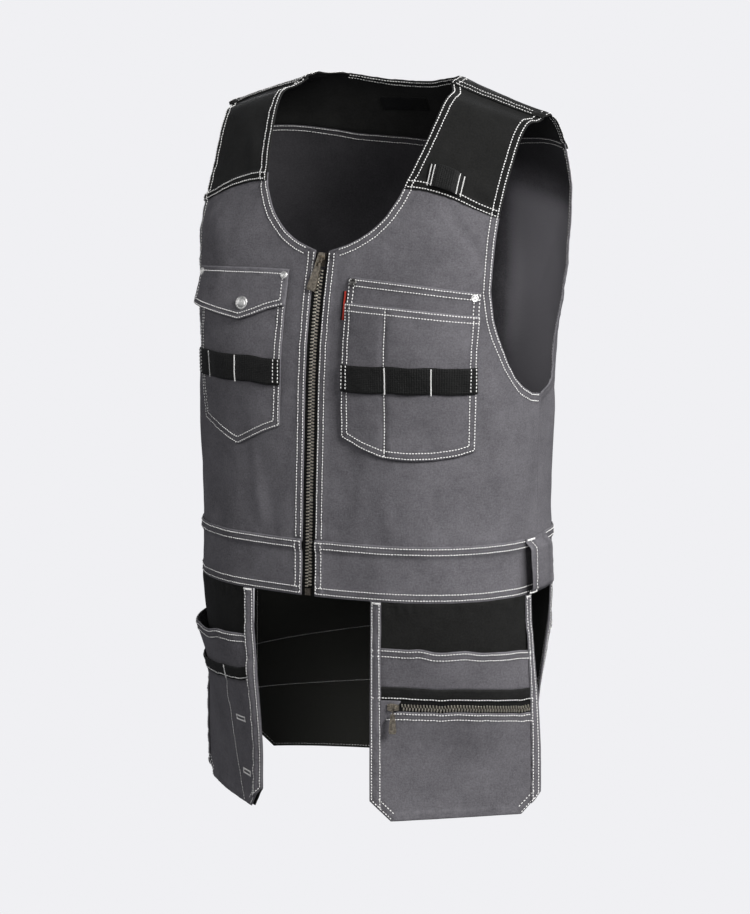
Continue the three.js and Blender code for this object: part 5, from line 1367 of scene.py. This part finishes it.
def hanging(key):
    side, face, start, flat, out, turned, length = HANG[key]

    def hem(w):
        return bare(side * (start + np.asarray(w, float)), np.full(np.shape(w), face * BODY_LENGTH, float))

    first, final = hem(np.zeros(1))[0], hem(np.full(1, HOLSTER_WIDTH))[0]
    middle = (first + final) / 2
    outward = unit(middle * [1, 1, 0])
    direction = unit((final - first) * [1, 1, 0])
    q = math.radians(turned * side * face)
    direction = np.array([direction[0] * math.cos(q) - direction[1] * math.sin(q),
                          direction[0] * math.sin(q) + direction[1] * math.cos(q), 0])
    free_end = middle + outward * out
    number = sum(ord(c) for c in key) % 97

    def bare_place(w, d):
        w, d = np.broadcast_arrays(np.asarray(w, float), np.asarray(d, float))
        curved = hem(w)
        share = flat * ease(0, 0.8 * HOLSTER_LENGTH, d)
        z = mix(curved[..., 2], first[2], share) - d * length
        target = free_end + direction * (w - HOLSTER_WIDTH / 2)[..., None]
        p = curved + (target - curved) * share[..., None]
        p[..., 2] = z
        return p

    def place(w, d, h=0.0):
        w, d, h = np.broadcast_arrays(np.asarray(w, float), np.asarray(d, float), np.asarray(h, float))
        n = normal_of(bare_place, w, d)
        n = n * np.sign((n * outward).sum(-1, keepdims=True))
        soft = (1.1 * noise(w / 55, d / 70, number) * ease(0, 30, d)
                + 0.3 * noise(w / 17, d / 22, number + 1) * ease(0, 25, d))
        pinch = mix(0.38, 1.0, ease(-1, 9, np.minimum(w, HOLSTER_WIDTH - w)))
        return bare_place(w, d) + n * (h * pinch + soft)[..., None]
    return place

TAPE_ROWS, CHAMFER_ROWS = (1.6, 10.2), (1.8, 8.6)


def holster_bottom(w):
    return HOLSTER_LENGTH - np.maximum(0, HOLSTER_CHAMFER - np.minimum(w, HOLSTER_WIDTH - w))


def bulge(w, power):
    """Rounded share across a holster between its two bindings."""
    return rounded((w - BINDING_WIDTH) / (HOLSTER_WIDTH - 2 * BINDING_WIDTH)) ** power


def stand(w, d, gape, start):
    """How far a pocket mouth stands off, fading out towards the holster's bottom."""
    return gape * bulge(w, 0.75) * (1 - 0.96 * ease(start, HOLSTER_LENGTH, d))


def wave(w, d):
    """Slight wandering of the hems and seams across a holster."""
    return 1.5 * noise(w / 24, d / 60, 9) + 0.6 * noise(w / 9, d / 40, 10)


W_MARKS = spans((0, 12, 7), (13.5, 22, 6), (24, 62, 22), (66, 182, 27), (184, 192.5, 6),
                (194, HOLSTER_WIDTH, 7))
LAYER_ROWS = spans((0, 0.09, 7), (0.12, 0.9, 30), (0.93, 1, 6))


CHAMFER_TURN = 0.414  # tangent of half the chamfer's angle


def perimeter(d):
    """Line a distance d inside the holster's edge, from the hem down, across and up."""
    k = d * CHAMFER_TURN
    far, low = HOLSTER_WIDTH - d, HOLSTER_LENGTH - d
    side, corner = HOLSTER_LENGTH - HOLSTER_CHAMFER - k, HOLSTER_CHAMFER + k
    points = [[d, 2.0], [d, side], [corner, low], [HOLSTER_WIDTH - HOLSTER_CHAMFER - k, low],
              [far, side], [far, 2.0]]
    return [np.array(pair) for pair in zip(points[:-1], points[1:])]


const = lambda c: (lambda w: np.full(np.shape(w), float(c)))
on_tape = lambda w: (w < BINDING_WIDTH) | (w > HOLSTER_WIDTH - BINDING_WIDTH)


def climb(layers):
    """Height of the side bindings, which climb over each layer a little above its start."""
    def height(w, d):
        h = np.full(np.shape(d), CLOTH + 0.6)
        for start, count in layers:
            h = mix(h, count * LAYER_STEP + CLOTH + 0.6, ease(start - 18, start - 5, d))
        return h
    return height


def pocket_noise(w, d, k, start, size=1.0):
    calm = bulge(w, 0.6) * ease(start, start + 25, d) * (1 - ease(HOLSTER_LENGTH - 30, HOLSTER_LENGTH, d))
    return size * (2.0 * noise(w / 42, d / 55, k) + 0.9 * noise(w / 17, d / 26, k + 1)) * calm


def path_on(line, count):
    """Path across a holster at a drop, between two places, where line(drop) gives its depth."""
    def path(d, a=0.0, b=HOLSTER_WIDTH):
        w = np.linspace(a, b, count)
        return np.stack([w, line(d)(w)], 1)
    return path


def slanted(d):
    return lambda w: (d + MOUTH_SLANT * (w / HOLSTER_WIDTH) - MOUTH_ARCH * rounded(w / HOLSTER_WIDTH)
                      + wave(w, d) * ease(40, 62, w))


def level(d):
    tilt = 7.0 if 99 < d < 120 else 0.0
    return lambda w: d + wave(w, d) - tilt * (1 - np.asarray(w) / HOLSTER_WIDTH)


path, flat_path = path_on(slanted, 50), path_on(level, 40)


def mouth_relief(path):
    r = Relief().hem(path(MOUTH_DROP), 10.5, 0.7)
    for d in MOUTH_ROWS:
        r.row(path(MOUTH_DROP + d), 0.5, 0.2)
    return r


def hem_bottom(relief):
    for part in perimeter(0)[1:4]:
        relief.hem(part, 9, 0.2)
    return relief


class Holster:
    """One hanging holster: its place, its stitches and the pieces that all four have."""

    def __init__(self, key):
        end, label = key.split("_")
        self.key, self.node = key, end + "_holster_" + label
        self.place, self.group = hanging(key), "stitches_holster_" + key

    def layer(self, part, look, top, bottom, base, relief, rows=LAYER_ROWS):
        w = W_MARKS[None] * np.ones((len(rows), 1))
        node = self.node + "_" + part + ("_pocket" if part in ("upper", "lower") else "")
        d = mix(top(w), bottom(w), rows[:, None])
        return cloth("holster_" + self.key + "_" + part, node, w, d, self.place, base, relief, look)

    def base_sheet(self):
        r = Relief()
        for part in perimeter(0):
            r.hem(part, 11, 0.2)
        r.row([[12, 6], [194, 6]], 0.0, 1.4)
        self.layer("base", LINING, const(0.3), holster_bottom, ZERO, r)
        return r

    def sew(self, line, face, **more):
        sew(self.group, line, self.place, face, **more)

    def tack(self, a, b, face, **more):
        bartack(self.group, a, b, self.place, face, **more)

    def sew_mouth(self, path, face):
        for d in MOUTH_ROWS:
            self.sew(path(MOUTH_DROP + d, 3, 203), face)

    def sew_inside(self, line, face, wide=0.32):
        sew("stitches_holster_inside", line, self.place, face, lift=-0.1, wide=wide)

    def bind(self, height, pocket_top):
        """Grey tape down both edges, and the stitch rows of the two chamfered corners."""
        near_w = np.array([-0.8, 0.0, 0.9, 2.0, 3.5, 5.2, 6.8, 8.5, 10.0, 11.2, 12.0])
        low = HOLSTER_LENGTH - HOLSTER_CHAMFER * (1 - near_w / HOLSTER_CHAMFER)
        d = mix(0.3, low[None], spans((0, 0.9, 110), (0.91, 1, 10))[:, None])
        across = near_w[None] * np.ones_like(d)
        wrap = np.where(across < 0.4, -0.9, 0.0)
        for label, to_w, first in (("inner", lambda x: x, 1.0), ("outer", lambda x: HOLSTER_WIDTH - x, 2.8)):
            r = Relief()
            for x in (0, BINDING_WIDTH):
                r.hem([[to_w(x), -5], [to_w(x), 270]], 3.2, 0.0)
            for x in TAPE_ROWS:
                r.row([[to_w(x), -5], [to_w(x), 270]], 0.5, 0.35)
            name, node = ("holster_" + self.key + "_binding_" + label, self.node + "_binding_" + label)
            top = cloth(name, node, to_w(across), d, self.place, height, r, GREY,
                        under=lambda w, d: np.where(wrap < 0, wrap, height(w, d)))
            for x in (first, TAPE_ROWS[1]):
                self.sew([[to_w(x), 3], [to_w(x), HOLSTER_LENGTH - HOLSTER_CHAMFER + x - 2]], top)
            self.tack([to_w(1.0), 2.2], [to_w(11.5), 2.2], top)
        over = lambda w, d: np.maximum(pocket_top(w, d), np.where(on_tape(w), height(w, d) + CLOTH, 0))
        for d in CHAMFER_ROWS:
            for k in (1, 3):
                self.sew(perimeter(d)[k], over)


# Left front holster: upper pocket, black trim, zip, lower pocket.
TAPE_TOP = SECOND_MOUTH_DROP + TRIM_HEIGHT
LOW_TOP = TAPE_TOP + HOLSTER_TAPE
holster = Holster("front_left")
gape = lambda w, d: stand(w, d, 0.7 * MOUTH_GAPE, MOUTH_DROP)
holster.base_sheet()
upper = lambda w, d: LAYER_STEP + gape(w, d) + 0.5 * pocket_noise(w, d, 120, 75)
top = holster.layer("upper", GREY, slanted(MOUTH_DROP), slanted(SECOND_MOUTH_DROP - 0.3), upper,
                    mouth_relief(path).row(path(SECOND_MOUTH_DROP), 0.0, 0.6),
                    spans((0, 0.3, 10), (0.36, 1, 12)))
holster.sew_mouth(path, top)
trim = lambda w, d: LAYER_STEP + gape(w, d) + 0.9
r = Relief().hem(path(SECOND_MOUTH_DROP), 5, 0.2).row(path(TAPE_TOP - 2.2), 0.6, 0.3)
TRIM_DOWN = np.linspace(0, 1, 10)
top = holster.layer("trim", BLACK, slanted(SECOND_MOUTH_DROP), slanted(TAPE_TOP - 0.3), trim, r, TRIM_DOWN)
holster.sew(path(TAPE_TOP - 2.4, 10, 203), top)
zip_bed = lambda w, d: LAYER_STEP + gape(w, d) - 0.2
holster.layer("zip_tape", TAPE, slanted(TAPE_TOP - 3), slanted(LOW_TOP + 3), zip_bed, None,
              np.linspace(0, 1, 12))
lower = lambda w, d: (LAYER_STEP + gape(w, d) + 0.6 * (1 - ease(LOW_TOP, LOW_TOP + 30, d))
                      + pocket_noise(w, d, 124, 142, 0.9))
r = Relief().hem(path(LOW_TOP - 3), 10.5, 0.5)
for d in (-0.6, 6.2):
    r.row(path(LOW_TOP + d), 0.5, 0.25)
for d in CHAMFER_ROWS:
    for part in perimeter(d)[1::2]:
        r.row(part, 0.45, 0.3)
lower_top = holster.layer("lower", GREY, slanted(LOW_TOP - 3), holster_bottom, lower, hem_bottom(r))
for d, start in ((-0.6, 20), (6.2, 17)):
    holster.sew(path(LOW_TOP + d, start, 203), lower_top)
tape_height = climb([[MOUTH_DROP, 1]])
holster.bind(tape_height, lower_top)
for d in (MOUTH_DROP + 2.4, MOUTH_DROP + 9.2, TAPE_TOP - 2.4):
    for a, b in ((0.8, 11.6), (194.4, 205.2)):
        holster.sew(path(d, a, b), outer_face(tape_height))

# small folded corner over the zip's inner end
CORNER_START, CORNER_END, CORNER_DEEP = 11.0, 35.0, 31
t = np.linspace(0, 1, 14)
across = mix(CORNER_START, CORNER_END, t)
top_line = slanted(TAPE_TOP + 0.5)(across)
low_line = mix(float(slanted(TAPE_TOP)(CORNER_START)) + CORNER_DEEP, top_line[-1] + 1.2, t)
r = Relief().hem([[CORNER_END, top_line[-1]], [CORNER_START, low_line[0]]], 3, 0.5)
corner_base = lambda w, d: LAYER_STEP * 2 + gape(w, d) + 0.25
cloth("holster_zip_corner", "front_holster_left_zip_tape", across[None] * np.ones((14, 1)),
      mix(top_line[None], low_line[None], t[:, None]), holster.place, corner_base, r, GREY)

# teeth of the holster's zip
mid = slanted(TAPE_TOP + HOLSTER_TAPE * 0.48)
on_zip = lambda w, h=0.0: holster.place(w, mid(w), zip_bed(w, mid(w)) + h)
w = np.linspace(37, 193, 600)
run = np.concatenate([[0], np.cumsum(np.linalg.norm(np.diff(on_zip(w, 2.5), axis=0), axis=1))])
at = np.interp(np.arange(0, run[-1], 1.8), run, w)
normal = unit(holster.place(at, mid(at), 5.0) - holster.place(at, mid(at), 0.0))
teeth("holster_zip_teeth", "holster_zip_chain", on_zip(at, 2.4), unit(on_zip(at + 1) - on_zip(at - 1)), normal,
      3.6, 2.0, 3.5, 2.2)

# Right front holster: outer pocket over the upper one, trim band, divider and two slots.
TRIM_FOOT = SECOND_MOUTH_DROP + TRIM_HEIGHT
DIVIDE = [[56, 94], [57, 109], [66, 130], [72, 150], [73, 178], [68, 210], [57, 238], [46, 257]]
holster = Holster("front_right")
gape_r = lambda w, d: (stand(w, d, 0.66 * MOUTH_GAPE, MOUTH_DROP)
                       * (1 - 0.35 * ease(MOUTH_DROP, MOUTH_DROP + 48, d)))
gape_2 = lambda w, d: gape_r(w, d) + stand(w, d, 0.12 * SECOND_GAPE, SECOND_MOUTH_DROP)
holster.base_sheet()
upper_r = lambda w, d: LAYER_STEP + gape_r(w, d) + 0.4 * pocket_noise(w, d, 130, 75)
top = holster.layer("upper", GREY, level(MOUTH_DROP), const(0.62 * HOLSTER_LENGTH), upper_r,
                    mouth_relief(flat_path))
holster.sew_mouth(flat_path, top)
outer = lambda w, d: 2 * LAYER_STEP + gape_2(w, d) + pocket_noise(w, d, 134, 130, 0.8)
r = Relief().hem(flat_path(SECOND_MOUTH_DROP), 5, 0.2).row(flat_path(TRIM_FOOT - 2.6), 0.6, 0.3)
trim_r = lambda w, d: outer(w, d) + 0.9
top = holster.layer("trim", BLACK, level(SECOND_MOUTH_DROP), level(TRIM_FOOT - 0.3), trim_r, r, TRIM_DOWN)
holster.sew(flat_path(TRIM_FOOT - 2.6, 3, 203), top)
r = hem_bottom(Relief().row(flat_path(TRIM_FOOT + 1), 0.3, 0.4).row(DIVIDE, 0.5, 0.35))
outer_top = holster.layer("lower", GREY, level(TRIM_FOOT), holster_bottom, outer, r)
holster.bind(climb([[MOUTH_DROP, 1], [SECOND_MOUTH_DROP, 2]]), outer_top)
holster.sew(DIVIDE[1:], outer_top)
holster.tack([56, 96], [57, 111], lambda w, d: np.maximum(outer_top(w, d), trim_r(w, d) + CLOTH), width=1.8)
for w, d in ((42.0, 158.0), (36.0, 222.0)):
    for down in (-2.3, 2.3):
        holster.tack([w - 11, d + down], [w + 11, d + down], outer_top, width=1.9, pitch=0.8)
    for away in (-11, 11):
        holster.tack([w + away, d - 3], [w + away, d + 3], outer_top, width=1.9, pitch=0.8)

# Rear holsters: one deep pocket each, with two slanted seams through the black base.
for key, k in (("rear_left", 140), ("rear_right", 150)):
    holster = Holster(key)
    inner = inner_face(ZERO, holster.base_sheet())
    deep = lambda w, d: LAYER_STEP + stand(w, d, MOUTH_GAPE, MOUTH_DROP) + pocket_noise(w, d, k, 75)
    top = holster.layer("pocket", GREY, level(MOUTH_DROP), holster_bottom, deep,
                        hem_bottom(mouth_relief(flat_path)))
    holster.sew_mouth(flat_path, top)
    holster.bind(climb([[MOUTH_DROP, 1]]), top)
    for part in perimeter(2.6):
        holster.sew_inside(part, inner)
    for a, b, c in ((126.0, 112.0, 92.0), (182.0, 176.0, 165.0)):
        holster.sew_inside([[206, a], [120, b], [6, c]], inner, wide=0.3)
for key in ("front_left", "front_right"):
    holster = Holster(key)
    for part in perimeter(2.6):
        holster.sew_inside(part, ZERO)

build_stitches(WHITE)

# CAD metal that stays: rounded edges and an antique finish.
for name in ("zip_slider", "zip_pull", "zip_stop", "holster_zip_slider", "holster_zip_pull"):
    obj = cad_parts[name]
    obj.data.materials.clear()
    obj.data.materials.append(BRASS)
    mod = obj.modifiers.new("rounded", "BEVEL")
    mod.width, mod.segments, mod.limit_method = 0.0003, 2, "ANGLE"
    mod.angle_limit = math.radians(35)

# Pale floor, backdrop and soft light.
def emission(name, color):
    mat = bpy.data.materials.new(name)
    mat.use_nodes = True
    tree = mat.node_tree
    tree.nodes.clear()
    out = tree.nodes.new("ShaderNodeOutputMaterial")
    glow = tree.nodes.new("ShaderNodeEmission")
    glow.inputs["Color"].default_value = (*color, 1)
    tree.links.new(glow.outputs[0], out.inputs["Surface"])
    return mat


PALE = emission("pale", (0.871, 0.871, 0.896))


def stage_mesh(name, points, faces):
    mesh = bpy.data.meshes.new(name)
    mesh.from_pydata(points, [], faces)
    mesh.materials.append(PALE)
    obj = bpy.data.objects.new(name, mesh)
    bpy.context.scene.collection.objects.link(obj)
    for ray in ("diffuse", "glossy", "transmission", "shadow", "volume_scatter"):
        setattr(obj, "visible_" + ray, False)

STAGE_RADIUS, STAGE_SIDES, FLOOR, CEILING = 9.0, 48, -1.35, 6.0
ends = range(STAGE_SIDES)
turns = [2 * math.pi * k / STAGE_SIDES for k in ends]
circle = [(STAGE_RADIUS * math.cos(q), STAGE_RADIUS * math.sin(q)) for q in turns]
after = [(k + 1) % STAGE_SIDES for k in ends]
stage_mesh("floor", [(x, y, FLOOR) for x, y in circle], [list(ends)])
stage_mesh("backdrop", [(x, y, z) for z in (FLOOR, CEILING) for x, y in circle] + [(0, 0, CEILING)],
           [[k, n, STAGE_SIDES + n, STAGE_SIDES + k] for k, n in zip(ends, after)]
           + [[STAGE_SIDES + k, STAGE_SIDES + n, 2 * STAGE_SIDES] for k, n in zip(ends, after)])

# Area lights: name, place, target, size and power.
for name, at, target, size, power in (
        ("key", (4.3, -1.7, 2.2), (0, 0, -0.2), 1.9, 348),
        ("front", (1.9, -4.4, 1.0), (0, 0, -0.35), 2.2, 46),
        ("back", (-2.4, 3.8, 1.5), (0, 0, -0.35), 2.4, 120),
        ("side", (-3.6, -1.4, 0.6), (0, 0, -0.5), 2.0, 22),
        ("spark", (-1.6, -4.4, 1.5), (0, 0, -0.3), 1.4, 13),
        ("top", (0.2, 1.0, 3.4), (0, 0, -0.3), 2.2, 22),
        ("rim", (2.6, 2.6, 1.6), (0, 0, -0.4), 2.0, 40)):
    data = bpy.data.lights.new(name, "AREA")
    data.energy, data.size = power, size
    obj = bpy.data.objects.new(name, data)
    obj.location = at
    obj.rotation_mode = "QUATERNION"
    obj.rotation_quaternion = (Vector(target) - Vector(at)).to_track_quat("-Z", "Y")
    bpy.context.scene.collection.objects.link(obj)
world = bpy.data.worlds.new("studio")
world.use_nodes = True
world.node_tree.nodes["Background"].inputs["Color"].default_value = (0.9, 0.92, 1.0, 1)
world.node_tree.nodes["Background"].inputs["Strength"].default_value = 0.13
bpy.context.scene.world = world
bpy.context.scene.view_settings.view_transform = "Standard"
bpy.context.scene.view_settings.look = "None"
